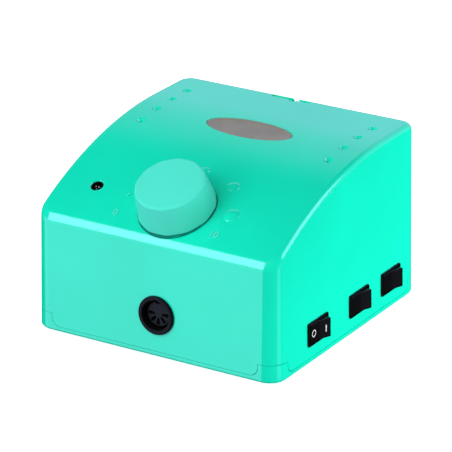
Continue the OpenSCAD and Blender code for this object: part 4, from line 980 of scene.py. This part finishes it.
class DRILLBOX_OT_knob(Piece, bpy.types.Operator):
    """Speed knob with wide shallow flutes and a soft top edge, over a dark ring that paints the shade in
    its gap
    """
    bl_idname = "drillbox.knob"
    bl_label = "Speed knob"

    def profile(self):
        t = self.trim
        gap, tall, r, top_r = t.knob_gap / MM, t.knob_h / MM, t.knob_r / MM, t.knob_top_r / MM
        soft = t.knob_round / MM
        top = gap + tall
        roof = top - KNOB_ROOF
        shoulder = top_r + (r - top_r) * soft / tall
        shares = [k / SKIRT_STEPS for k in range(1, SKIRT_STEPS)]
        drop = tall - soft - KNOB_FOOT[0][1]
        skirt = [(shoulder + (r - shoulder) * k, top - soft - drop * k) for k in shares]
        foot = [(r - inset, gap + z) for inset, z in KNOB_FOOT]
        inner = [(r - KNOB_WALL, gap), (top_r - KNOB_WALL, roof), (HUB_R, roof), (HUB_R, HUB_FOOT),
                 (INSERT_R, HUB_FOOT), (INSERT_R, roof), (0, roof)]
        crown = [(ring, top) for ring in CROWN_RADII]
        return crown + arc(shoulder - soft, top - soft, soft, 90, 0, 10) + skirt + foot + inner

    # Profile of the dark ring that paints the shade under the knob's skirt
    def shade_ring(self):
        gap, r = self.trim.knob_gap / MM, self.trim.knob_r / MM
        rim, inner, top = r + SHADE_RING_OVERHANG, r - SHADE_RING_INNER, gap - SHADE_RING_GAP
        outer = [(rim, -SHADE_RING_SINK), (rim, top - SHADE_RING_EDGE), (rim - SHADE_RING_EDGE, top)]
        return outer + [(inner, top), (inner, -SHADE_RING_SINK)]

    def execute(self, context):
        f, t = form(), self.trim
        knob = lathe("knob_cap", self.profile(), Matrix(), KNOB_SIDES)
        rule = Rule("knob flutes", Flutes=t.flutes, Depth=t.flute_depth, Rim=t.knob_top_r - t.knob_round)
        x, y, _ = rule.parts(rule.node("GeometryNodeInputPosition"))
        turn = x.math("ARCTAN2", y, x)
        reach = x.math("SQRT", x * x + y * y)
        count = rule.value("Flutes") * turn
        wave = 0.5 + 0.5 * count.math("COSINE", count)
        rim = rule.value("Rim")
        cut = rule.value("Depth") * wave * reach.ease(*[rim * share for share in FLUTE_FADE])
        inward = rule.vector(-(cut * x / reach), -(cut * y / reach), 0.0)
        moved = rule.node(
            "GeometryNodeSetPosition", {}, {"Geometry": rule.value("Base mesh"), "Offset": inward})
        rule.grow(knob, moved, "knob")
        place = f.on_top(t.knob_x, t.knob_y)
        knob.data.transform(place)
        hand_over(shade(knob), "knob", "knob", "speed_knob")
        # Dark ring under the skirt: painted shade in the gap between the knob and the panel
        ring = lathe("knob_felt_ring", self.shade_ring(), place, LARGE)
        hand_over(shade(ring), "case", "shade_ring")
        return {"FINISHED"}


# Badge, in millimetres: rows of growths and heights up its side, over its rim and down to its plate
BADGE_ROWS = [
    (-0.1, 0.0), (0.0, 0.1), (0.0, 0.4), (-0.06, 0.52), (-0.2, 0.59), (-0.4, 0.6), (-0.75, 0.6),
    (-0.95, 0.56), (-1.1, 0.45), (-1.4, 0.26), (-1.6, 0.22), (-2.5, 0.22), (-4.5, 0.22), (-6.5, 0.22)]
BADGE_SIDES = 160
BADGE_SHARP = math.radians(50)


class DRILLBOX_OT_badge(Piece, bpy.types.Operator):
    """Bare oval badge with a raised rim"""
    bl_idname = "drillbox.badge"
    bl_label = "Bare badge"

    def execute(self, context):
        f, t = form(), self.trim
        place = shifted(f.on_top(BADGE_X, t.badge_y), z=-BADGE_RECESS)
        badge = oval("badge_plate", t.badge_l / MM, t.badge_w / MM, BADGE_ROWS, place, BADGE_SIDES)
        hand_over(shade(badge, BADGE_SHARP), "case", "badge", "name_badge")
        return {"FINISHED"}


# Lamp: turned profiles, and the shape and place of its two pale beads, in millimetres. The beads stand for
# the lamp's dies and poke through the lens top, where they paint its two glints
LAMP_DOME = arc(0, -3.3, 2.5, 90, 0, 12) + [(2.5, -6), (2.85, -6), (2.85, -7.05), (0, -7.05)]
LAMP_COLLAR = [
    (2.55, -0.45), (2.65, -0.3), (2.8, -0.3), (2.9, -0.45), (2.9, -5.05), (4.7, -5.05), (4.7, -6),
    (2.55, -6)]
LAMP_GLINT_BEAD = arc(0, -1.02, 0.34, 90, -90, 8)
LAMP_GLINT_X = 0.75


class DRILLBOX_OT_lamp(Piece, bpy.types.Operator):
    """Dark indicator lamp in its sleeve"""
    bl_idname = "drillbox.lamp"
    bl_label = "Indicator lamp"

    def execute(self, context):
        place = form().on_top(*LAMP)
        hand_over(shade(lathe("lamp_dome", LAMP_DOME, place, MIDDLE)), "case", "lamp", "lamp_lens")
        collar = lathe("lamp_collar", LAMP_COLLAR, place, MIDDLE)
        hand_over(shade(collar), "case", "black", "lamp_sleeve_ring")
        # Two pale beads poking through the lens top paint the lamp's two glints
        for side, x in (("left", -LAMP_GLINT_X), ("right", LAMP_GLINT_X)):
            glint_bead = lathe(f"lamp_die_{side}", LAMP_GLINT_BEAD, shifted(place, x), TINY)
            hand_over(shade(glint_bead), "case", "glint_bead")
        return {"FINISHED"}


# Motor socket, in millimetres: turned profiles, the key in its rim, and contact slots that widen outwards
SOCKET_DEPTH = 9
SOCKET_LIP = arc(8.65, 0.7, 0.6, 0, 90, 6) + [(8.0, 1.3)] + arc(7.45, 0.85, 0.45, 90, 180, 5)
SOCKET_RING = [(9.25, 0)] + SOCKET_LIP + [
    (7, -SOCKET_DEPTH), (5.95, -SOCKET_DEPTH), (5.95, -11), (8.2, -11), (8.2, 0)]
SOCKET_BLOCK = [(0, -1.5), (5.6, -1.5)] + arc(5.6, -1.9, 0.4, 90, 0, 5) + [
    (6.0, -SOCKET_DEPTH), (5.9, -SOCKET_DEPTH), (5.9, -11), (0, -11)]
KEY_W = 2.8
KEY_REACH = 7.7
NOTCH_AT = 4.9
NOTCH_L = 5.9
PIN_SLOTS = [180 + 45 * i for i in range(5)]
PIN_RING_R = 3.5
PIN_WEDGE = arc(-1.2, 0, 0.55, 110, 250, 6) + arc(0.85, 0, 0.95, -70, 70, 8)


class DRILLBOX_OT_motor_socket(Piece, bpy.types.Operator):
    """Round five-pin motor socket in the front"""
    bl_idname = "drillbox.motor_socket"
    bl_label = "Motor socket"

    def execute(self, context):
        place = form().on_front(self.trim.socket_x, self.trim.socket_z)
        ring = lathe("socket_ring", SOCKET_RING, place, LARGE)
        key = shifted(place, 0, KEY_REACH / 2)
        carve(ring, block("key", KEY_W, KEY_REACH, -SOCKET_DEPTH, PAST_FACE, key))
        hand_over(shade(ring), "case", "black", "motor_socket_shell")
        core = lathe("socket_block", SOCKET_BLOCK, place, LARGE)
        notch = shifted(place, 0, NOTCH_AT + NOTCH_L / 2)
        cuts = [block("notch", KEY_W, NOTCH_L, -SOCKET_DEPTH, PAST_FACE, notch)]
        for turn in PIN_SLOTS:
            spot = shifted(place @ Matrix.Rotation(math.radians(turn), 4, "Z"), PIN_RING_R)
            cuts.append(prism("slot", PIN_WEDGE, -SOCKET_DEPTH, PAST_FACE, spot))
        carve(core, *cuts)
        hand_over(shade(core), "case", "socket", "motor_socket_core")
        return {"FINISHED"}


# Rocker switches, in millimetres: the rim, box and mouth of a frame
SWITCH_RIM = (18, 11.4, 1.0)
SWITCH_RIM_H = 0.9
SWITCH_RIM_SOFT = 0.3
SWITCH_BOX = (16.6, 10.8, -12, 0.4)
SWITCH_MOUTH = (15.8, 10.0, 0.5)
SWITCH_WELL = 7
# A rocker's half length and width, tilt, height at the middle, pivot, keel and the rounding of its valley
ROCKER_HALF = 6.9
ROCKER_SIDE = 4.7
ROCKER_TILT = math.radians(11.5)
ROCKER_NOSE = 1.1
ROCKER_PIVOT = -2.0
ROCKER_LOW = ROCKER_PIVOT - 1
ROCKER_KEEL = ROCKER_PIVOT - 2.6
ROCKER_KEEL_HALF = 2
ROCKER_TUCK = 0.6
ROCKER_SOFT = 0.35
ROCKER_STEPS = 28
VALLEY = 0.35
# Marks printed on the power rocker, just proud of its face, in millimetres
MARK_SINK = -0.15
MARK_PROUD = 0.03
MARK_RING = [(1.75, MARK_PROUD), (1.75, MARK_SINK), (1.3, MARK_SINK), (1.3, MARK_PROUD)]
MARK_RING_X = -4.0
MARK_BAR = (0.5, 3.4, 0.15)
MARK_BAR_X = 4.2
SLOPE_STEP = 0.1


class DRILLBOX_OT_switches(Piece, bpy.types.Operator):
    """Three rocker switches in the right wall"""
    bl_idname = "drillbox.switches"
    bl_label = "Rocker switches"

    def rise(self, x):
        """Height of a rocker's face along its length: two slopes that meet in a rounded valley."""
        tall = ROCKER_HALF * math.tan(ROCKER_TILT)
        full = math.hypot(ROCKER_HALF, VALLEY) - VALLEY
        return ROCKER_NOSE + tall * (math.hypot(x, VALLEY) - VALLEY) / full

    def frame(self, name, place):
        rim = prism(f"{name}_switch_frame", round_outline(*SWITCH_RIM), 0, SWITCH_RIM_H, place)
        body = add(soften(rim, SWITCH_RIM_SOFT), block("box", *SWITCH_BOX, place))
        carve(body, prism("mouth", round_outline(*SWITCH_MOUTH), -SWITCH_WELL, PAST_FACE, place))
        hand_over(shade(body), "case", "black", f"{name}_switch_body")

    def rocker(self, name, place):
        """Makes a rocker at its tilt and returns the frame that it lies in."""
        pivot = shifted(place, z=ROCKER_PIVOT) @ Matrix.Rotation(-ROCKER_TILT, 4, "Y")
        tilted = shifted(pivot, z=-ROCKER_PIVOT)
        along = [ROCKER_HALF * (1 - 2 * i / ROCKER_STEPS) for i in range(ROCKER_STEPS + 1)]
        tuck = ROCKER_HALF - ROCKER_TUCK
        keel = [(-ROCKER_KEEL_HALF, ROCKER_KEEL), (ROCKER_KEEL_HALF, ROCKER_KEEL)]
        outline = [(x, self.rise(x)) for x in along] + [(-tuck, ROCKER_LOW), *keel, (tuck, ROCKER_LOW)]
        lying = tilted @ Matrix.Rotation(math.pi / 2, 4, "X")
        paddle = soften(prism(f"{name}_paddle", outline, -ROCKER_SIDE, ROCKER_SIDE, lying), ROCKER_SOFT)
        hand_over(shade(paddle), f"{name}_rocker", "gloss_black", f"{name}_rocker")
        return tilted

    def on_face(self, tilted, x):
        slope = (self.rise(x + SLOPE_STEP) - self.rise(x - SLOPE_STEP)) / (2 * SLOPE_STEP)
        return shifted(tilted, x, 0, self.rise(x)) @ Matrix.Rotation(-math.atan(slope), 4, "Y")

    def marks(self, tilted):
        """A ring and a bar, printed on the power rocker."""
        ring = lathe("power_mark_ring", MARK_RING, self.on_face(tilted, MARK_RING_X), SMALL)
        bar = prism("power_mark_bar", round_outline(*MARK_BAR), MARK_SINK, MARK_PROUD,
                    self.on_face(tilted, MARK_BAR_X))
        for mark in (ring, bar):
            hand_over(shade(mark), "power_rocker", "white")

    def execute(self, context):
        f, t = form(), self.trim
        for name, y in SWITCHES:
            place = f.on_right(y, t.switch_z)
            self.frame(name, place)
            tilted = self.rocker(name, place)
            if name == "power":
                self.marks(tilted)
        return {"FINISHED"}


# Turned profiles of the feet and screws, and the cross in a screw's head, in millimetres
FOOT = [(0, 2.6), (6, 2.6), (6, 0.6)] + arc(5.4, 0.6, 0.6, 0, -90, 5) + [
    (3.6, 0), (3.2, 0.25), (2.8, 0.3), (0, 0.3)]
CASE_SCREW = [(0, 0)] + arc(2.4, 0.4, 0.4, -90, 0, 4) + [(2.8, 1.8), (1.5, 1.8), (1.5, 16.6), (0, 17)]
CASE_SCREW_SINK = 1 * MM
CROSS_L = 3.1
CROSS_W = 0.8
CASE_CROSS = (-1, 0.9)
INLET_CROSS = (1.3, 4)


def cross(low, high, place=Matrix()):
    """The two bars of the cross in a screw's head."""
    return [block("cross", w, h, low, high, place) for w, h in ((CROSS_L, CROSS_W), (CROSS_W, CROSS_L))]


class DRILLBOX_OT_feet(Piece, bpy.types.Operator):
    """Rubber feet and case screws under the tray"""
    bl_idname = "drillbox.feet"
    bl_label = "Feet and case screws"

    def execute(self, context):
        f = form()
        foot = lathe("foot", FOOT, Matrix(), MIDDLE)
        feet = repeat_on_corners("foot_pads", foot, FEET, f.upright(0, 0, 0), "rubber")
        hand_over(shade(feet), "case", "rubber", "rubber_feet")
        screw = carve(lathe("screw", CASE_SCREW, Matrix(), SMALL), *cross(*CASE_CROSS))
        head = f.upright(0, 0, f.s.foot_h + CASE_SCREW_SINK)
        screws = repeat_on_corners("case_screw_set", screw, POSTS, head, "steel")
        hand_over(shade(screws), "case", "steel", "case_screws")
        return {"FINISHED"}


# Mains inlet, in millimetres: flange and shell, the mouth with two cut corners, blades and screws
INLET_FLANGE = (48, 23, 3)
INLET_FLANGE_T = 2.2
INLET_FLANGE_SOFT = 0.4
INLET_SHELL = (27.6, 20, -17, 1)
INLET_MOUTH_W = 12.2
INLET_MOUTH_H = 8.4
INLET_MOUTH_CUT = 4.5
INLET_MOUTH_DEPTH = 14
INLET_MOUTH_PAST = 8
INLET_MOUTH_SOFT = 0.6
INLET_BLADES = ((-7, -2), (7, -2), (0, 2))
INLET_BLADE = (2, 4, -23, -1)
INLET_BLADE_SOFT = 0.5
INLET_SCREW_SEAT = [(0, 4), (3.4, 4), (3.1, 2.3), (1.6, 0.8), (1.6, -1), (0, -1)]
INLET_SCREW = [(0, 2.2), (2.6, 2.2), (2.8, 2.1), (1.5, 0.85), (1.5, -5.75), (0, -5.75)]
INLET_NUT = (5.5, -4.75, -2.55)
# Fuse holder and its cap with a coin slot, in millimetres
FUSE_BUSH = [(7.5, 0), (7.5, 1.2)] + arc(6.9, 1.2, 0.6, 0, 90, 4) + [
    (5.4, 1.8), (5.1, 1.5), (5.1, -25.5), (1.25, -25.5), (1.25, -27), (6, -27), (6, 0)]
FUSE_BUTTON = [(0, 6.3), (5.7, 6.3)] + arc(5.7, 5.5, 0.8, 90, 0, 5) + [
    (6.5, 2.4), (6.2, 2.1), (4.8, 2.1), (4.8, -5.9), (2.55, -5.9), (2.55, -5.0), (0, -5.0)]
COIN_SLOT = (14, 1.4, 5.3, 8)
COIN_SLOT_SOFT = 0.2
# Pedal jack, in millimetres: its bush, box and bore, and its nut with a turned collar
JACK_BORE_R = 3.25
JACK_BORE_DEPTH = 20.5
JACK_BUSH = [(4.25, 3.4), (4.45, 3.2), (4.45, -3.5), (JACK_BORE_R, -3.5), (JACK_BORE_R, 2.9), (3.6, 3.4)]
JACK_BOX = (14, 14, -22.55, -2.55)
JACK_NUT = (11.9, 0.05, 2.25)
JACK_NUT_BORE_R = 4.5
JACK_COLLAR = [(0, 2.3), (5.9, 2.25), (6.9, 1.6), (6.9, 0), (0, 0)]


class DRILLBOX_OT_rear_fittings(Piece, bpy.types.Operator):
    """Mains inlet, fuse holder and pedal jack in the rear wall"""
    bl_idname = "drillbox.rear_fittings"
    bl_label = "Rear fittings"

    def nut(self, name, width, low, high, place):
        return prism(name, hex_outline(width), low, high, place)

    def inlet(self, place):
        flange = prism("inlet_frame", round_outline(*INLET_FLANGE), 0, INLET_FLANGE_T, place)
        body = add(soften(flange, INLET_FLANGE_SOFT), block("shell", *INLET_SHELL, place))
        w, h, cut = INLET_MOUTH_W, INLET_MOUTH_H, INLET_MOUTH_CUT
        outline = [(-w, -h), (w, -h), (w, h - cut), (w - cut, h), (cut - w, h), (-w, h - cut)]
        mouth = prism("mouth", outline, -INLET_MOUTH_DEPTH, INLET_MOUTH_PAST, place)
        soften(mouth, INLET_MOUTH_SOFT)
        spots = [shifted(place, s * INLET_SCREW_X) for s in (-1, 1)]
        carve(body, mouth, *[lathe("seat", INLET_SCREW_SEAT, spot, SMALL) for spot in spots])
        hand_over(shade(body), "case", "black", "mains_inlet_body")
        blades = [soften(block("inlet_blades", *INLET_BLADE, shifted(place, x, y)), INLET_BLADE_SOFT)
                  for x, y in INLET_BLADES]
        hand_over(shade(add(*blades)), "case", "steel", "mains_inlet_pins")
        screws = []
        for spot in spots:
            screw = lathe("inlet_screw_pair", INLET_SCREW, spot, SMALL)
            carve(screw, *cross(*INLET_CROSS, spot))
            screws.append(add(screw, self.nut("nut", *INLET_NUT, spot)))
        hand_over(shade(add(*screws)), "case", "steel", "mains_inlet_screws")

    def fuse(self, place):
        hand_over(shade(lathe("fuse_bush", FUSE_BUSH, place)), "case", "black", "fuse_holder_body")
        cap = lathe("fuse_button", FUSE_BUTTON, place)
        carve(cap, soften(block("slot", *COIN_SLOT, place), COIN_SLOT_SOFT, 2))
        hand_over(shade(cap), "fuse_carrier", "gloss_black", "fuse_cap")

    def jack(self, place):
        bush = lathe("jack_bush", JACK_BUSH, place)
        box = carve(block("box", *JACK_BOX, place), rod("bore", JACK_BORE_R, -JACK_BORE_DEPTH, 0, place))
        hand_over(shade(add(bush, box)), "case", "black", "pedal_jack_body")
        nut = self.nut("jack_hex", *JACK_NUT, place)
        carve(nut, lathe("collar", JACK_COLLAR, place), operation="INTERSECT")
        carve(nut, rod("bore", JACK_NUT_BORE_R, -1, 4, place))
        hand_over(shade(nut), "case", "steel", "pedal_jack_nut")

    def execute(self, context):
        f = form()
        self.inlet(f.on_rear(*INLET))
        self.fuse(f.on_rear(*FUSE))
        self.jack(f.on_rear(*JACK))
        return {"FINISHED"}


INNER_FINISHES = {
    "steel": ("pot_shaft", "pot_washer", "pot_nut", "pot_terminals", "lamp_legs", "motor_socket_nut",
              "fuse_holder_nut", "transformer_strap", "transformer_screws", "board_screws"),
    "brass": ("knob_insert", "pot_wiper", "pot_bushing", "motor_socket_contacts", "power_switch_terminals",
              "direction_switch_terminals", "pedal_switch_terminals", "fuse_holder_contacts",
              "pedal_jack_contacts"),
    "core": ("transformer_core", "pot_body"),
    "cream": ("transformer_bobbin", "board_connectors"),
    "tape": ("transformer_winding",),
    "board": ("control_board",),
    "sink": ("heat_sink",),
    "black": ("power_transistors", "bridge_rectifier", "control_chip", "pot_track"),
    "capacitor": ("filter_capacitors",),
    "glass": ("fuse",),
    "brown": ("mains_leads",),
    "red": ("motor_lead",),
    "yellow": ("signal_leads",),
}


class DRILLBOX_OT_inner_parts(Piece, bpy.types.Operator):
    """Finishes of the pieces inside the case"""
    bl_idname = "drillbox.inner_parts"
    bl_label = "Inner parts"

    def execute(self, context):
        for finish, nodes in INNER_FINISHES.items():
            for node in nodes:
                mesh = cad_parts[node].data
                mesh.materials.clear()
                mesh.materials.append(Finishes.get(finish))
        return {"FINISHED"}


VIEW_AZIMUTH = math.radians(31.46)
VIEW_ELEVATION = math.radians(21.88)
VIEW_DISTANCE = 1.488
VIEW_LENS = 255.4
VIEW_SENSOR = 36.0
VIEW_RIGHT = -1.20 * MM
VIEW_UP = 2.59 * MM
VIEW_MIDDLE = 40 * MM
VIEW_FAR = 50

# Studio: brightness of what the camera, the surfaces and the reflections see
BACKDROP = 1.3
AMBIENT = 0.41
FLOOR_GLOW = 0.80
FLOOR_REACH = 6.0
FLOOR_SIDES = 24
FRONT_WALL = 3.1
FRONT_STRIP = 11.0
REAR_WALL = 1.9
MIRRORED_TINT = (0.50, 0.61, 1.0)
# Where the mirrored walls fade, as shares of a direction's x, y or z
ABOVE = (0.08, 0.18)
LEFT = (-0.42, -0.30)
AHEAD = (-0.5, -0.2)
BEHIND = (0.30, 1.0)
REAR_TOP = (0.60, 0.76)
STRIP_LEFT = (-0.64, -0.54)
STRIP_TOP = (0.70, 0.76)
# Softboxes: name, place and aim in metres, width, height and power
SOFTBOXES = (
    ("right_strip", (0.30, 0.12, 0.022), (0.0, 0.12, 0.022), 0.5, 0.04, 0.89),
    ("left_softbox", (-0.85, -1.75, 0.85), (0.0, 0.0, 0.04), 1.2, 1.2, 13.8),
    ("top_softbox", (-0.14, -0.85, 1.00), (0.0, 0.0, 0.04), 0.8, 0.8, 5.6),
)
# Bright patches in the reflections: direction, strength, and the angles at which a patch fades and ends
GLINTS = (((0.67, 0.30, 0.67), 8.0, math.radians(14), math.radians(24)),
          ((0.93, -0.02, -0.37), 1.6, math.radians(8), math.radians(14)))


class DRILLBOX_OT_stage(Piece, bpy.types.Operator):
    """Pale floor, soft studio light and the camera"""
    bl_idname = "drillbox.stage"
    bl_label = "Studio"

    def camera(self, f):
        a, e = VIEW_AZIMUTH, VIEW_ELEVATION
        back = Vector((math.sin(a) * math.cos(e), -math.cos(a) * math.cos(e), math.sin(e)))
        right = Vector((math.cos(a), math.sin(a), 0))
        target = f.mid + Vector((0, 0, VIEW_MIDDLE)) + right * VIEW_RIGHT + back.cross(right) * VIEW_UP
        data = bpy.data.cameras.new("photo_camera")
        data.lens = VIEW_LENS
        data.sensor_width = VIEW_SENSOR
        data.clip_end = VIEW_FAR
        camera = link("photo_camera", data)
        camera.location = target + back * VIEW_DISTANCE
        camera.rotation_euler = (-back).to_track_quat("-Z", "Y").to_euler()
        bpy.context.scene.camera = camera

    def softbox(self, name, place, aim, wide, tall, power):
        """Area light at a place, turned towards another."""
        data = bpy.data.lights.new(name, "AREA")
        data.shape = "RECTANGLE"
        data.size = wide
        data.size_y = tall
        data.energy = power
        light = link(name, data)
        light.location = place
        light.visible_glossy = False
        light.visible_camera = False
        away = Vector(place) - Vector(aim)
        light.rotation_euler = away.to_track_quat("Z", "Y").to_euler()

    def floor(self):
        mesh = bpy.data.meshes.new("floor")
        points = [(FLOOR_REACH * c, FLOOR_REACH * s, 0) for c, s in around(FLOOR_SIDES)]
        mesh.from_pydata(points, [], [tuple(range(FLOOR_SIDES))])
        floor = link("floor", mesh)
        f = Finish("pale floor", Roughness=0.9, Emission_Strength=FLOOR_GLOW, Emission_Color=(1, 1, 1, 1))
        f.feed("Base Color", f.blend(f.noise(6, 2), (0.90, 0.90, 0.90), (0.93, 0.93, 0.93)))
        mesh.materials.append(f.material)
        floor.visible_glossy = False
        floor.visible_diffuse = False

    def sky(self):
        """White for the camera, a dim even fill, and for reflections pale walls with two bright patches."""
        world = bpy.data.worlds.new("studio")
        bpy.context.scene.world = world
        world.use_nodes = True
        sheet = Sheet(world.node_tree)
        sheet.tree.nodes.clear()
        x, y, z = sheet.parts(sheet.node("ShaderNodeTexCoord", output="Generated"))

        def toward(direction):
            ax, ay, az = Vector(direction).normalized()
            return x * ax + y * ay + z * az

        left = 1.0 - x.ease(*LEFT)
        ahead = 1.0 - y.ease(*AHEAD)
        front = FRONT_WALL * left * ahead
        rear = REAR_WALL * y.ease(*BEHIND) * (1.0 - z.ease(*REAR_TOP))
        strip = FRONT_STRIP * left * x.ease(*STRIP_LEFT) * ahead * (1.0 - z.ease(*STRIP_TOP))
        mirrored = front + (rear + strip - front) * z.ease(*ABOVE)
        for direction, strength, inner, outer in GLINTS:
            mirrored = mirrored + strength * toward(direction).ease(math.cos(outer), math.cos(inner))
        ray = sheet.node("ShaderNodeLightPath", output="Is Camera Ray")
        lit = AMBIENT + (mirrored - AMBIENT) * ray.out("Is Glossy Ray")
        shown = lit + (BACKDROP - lit) * ray
        tint = sheet.blend(ray.out("Is Glossy Ray"), (1, 1, 1), MIRRORED_TINT)
        light = sheet.node("ShaderNodeBackground", {}, {"Color": tint, "Strength": shown})
        end = sheet.tree.nodes.new("ShaderNodeOutputWorld")
        sheet.tree.links.new(light.socket, end.inputs["Surface"])

    def execute(self, context):
        self.camera(form())
        self.floor()
        self.sky()
        for softbox in SOFTBOXES:
            self.softbox(*softbox)
        context.scene.view_settings.view_transform = "Standard"
        return {"FINISHED"}


MAKERS = (
    DRILLBOX_OT_stage, DRILLBOX_OT_case, DRILLBOX_OT_tray, DRILLBOX_OT_speed_dots, DRILLBOX_OT_dial_numbers,
    DRILLBOX_OT_knob, DRILLBOX_OT_badge, DRILLBOX_OT_lamp, DRILLBOX_OT_motor_socket, DRILLBOX_OT_switches,
    DRILLBOX_OT_rear_fittings, DRILLBOX_OT_feet, DRILLBOX_OT_inner_parts)


class DRILLBOX_PT_panel(bpy.types.Panel):
    """Sizes, colours and makers of the control box"""
    bl_idname = "DRILLBOX_PT_panel"
    bl_label = "Nail drill control box"
    bl_space_type = "VIEW_3D"
    bl_region_type = "UI"
    bl_category = "Drill box"

    def draw(self, context):
        for group in (context.scene.drill_case, context.scene.drill_trim, context.scene.drill_colours):
            for name in group.__annotations__:
                self.layout.prop(group, name)
        for maker in MAKERS:
            self.layout.operator(maker.bl_idname)


GROUPS = {"drill_case": CaseSizes, "drill_trim": TrimSizes, "drill_colours": Colours}


def register():
    for group in GROUPS.values():
        bpy.utils.register_class(group)
    for maker in MAKERS:
        bpy.utils.register_class(maker)
    bpy.utils.register_class(DRILLBOX_PT_panel)
    for name, group in GROUPS.items():
        setattr(bpy.types.Scene, name, PointerProperty(type=group))


def unregister():
    for name in GROUPS:
        delattr(bpy.types.Scene, name)
    bpy.utils.unregister_class(DRILLBOX_PT_panel)
    for maker in reversed(MAKERS):
        bpy.utils.unregister_class(maker)
    for group in GROUPS.values():
        bpy.utils.unregister_class(group)


def main():
    register()
    for maker in MAKERS:
        area, name = maker.bl_idname.split(".")
        getattr(getattr(bpy.ops, area), name)()


if __name__ == "__main__":
    main()
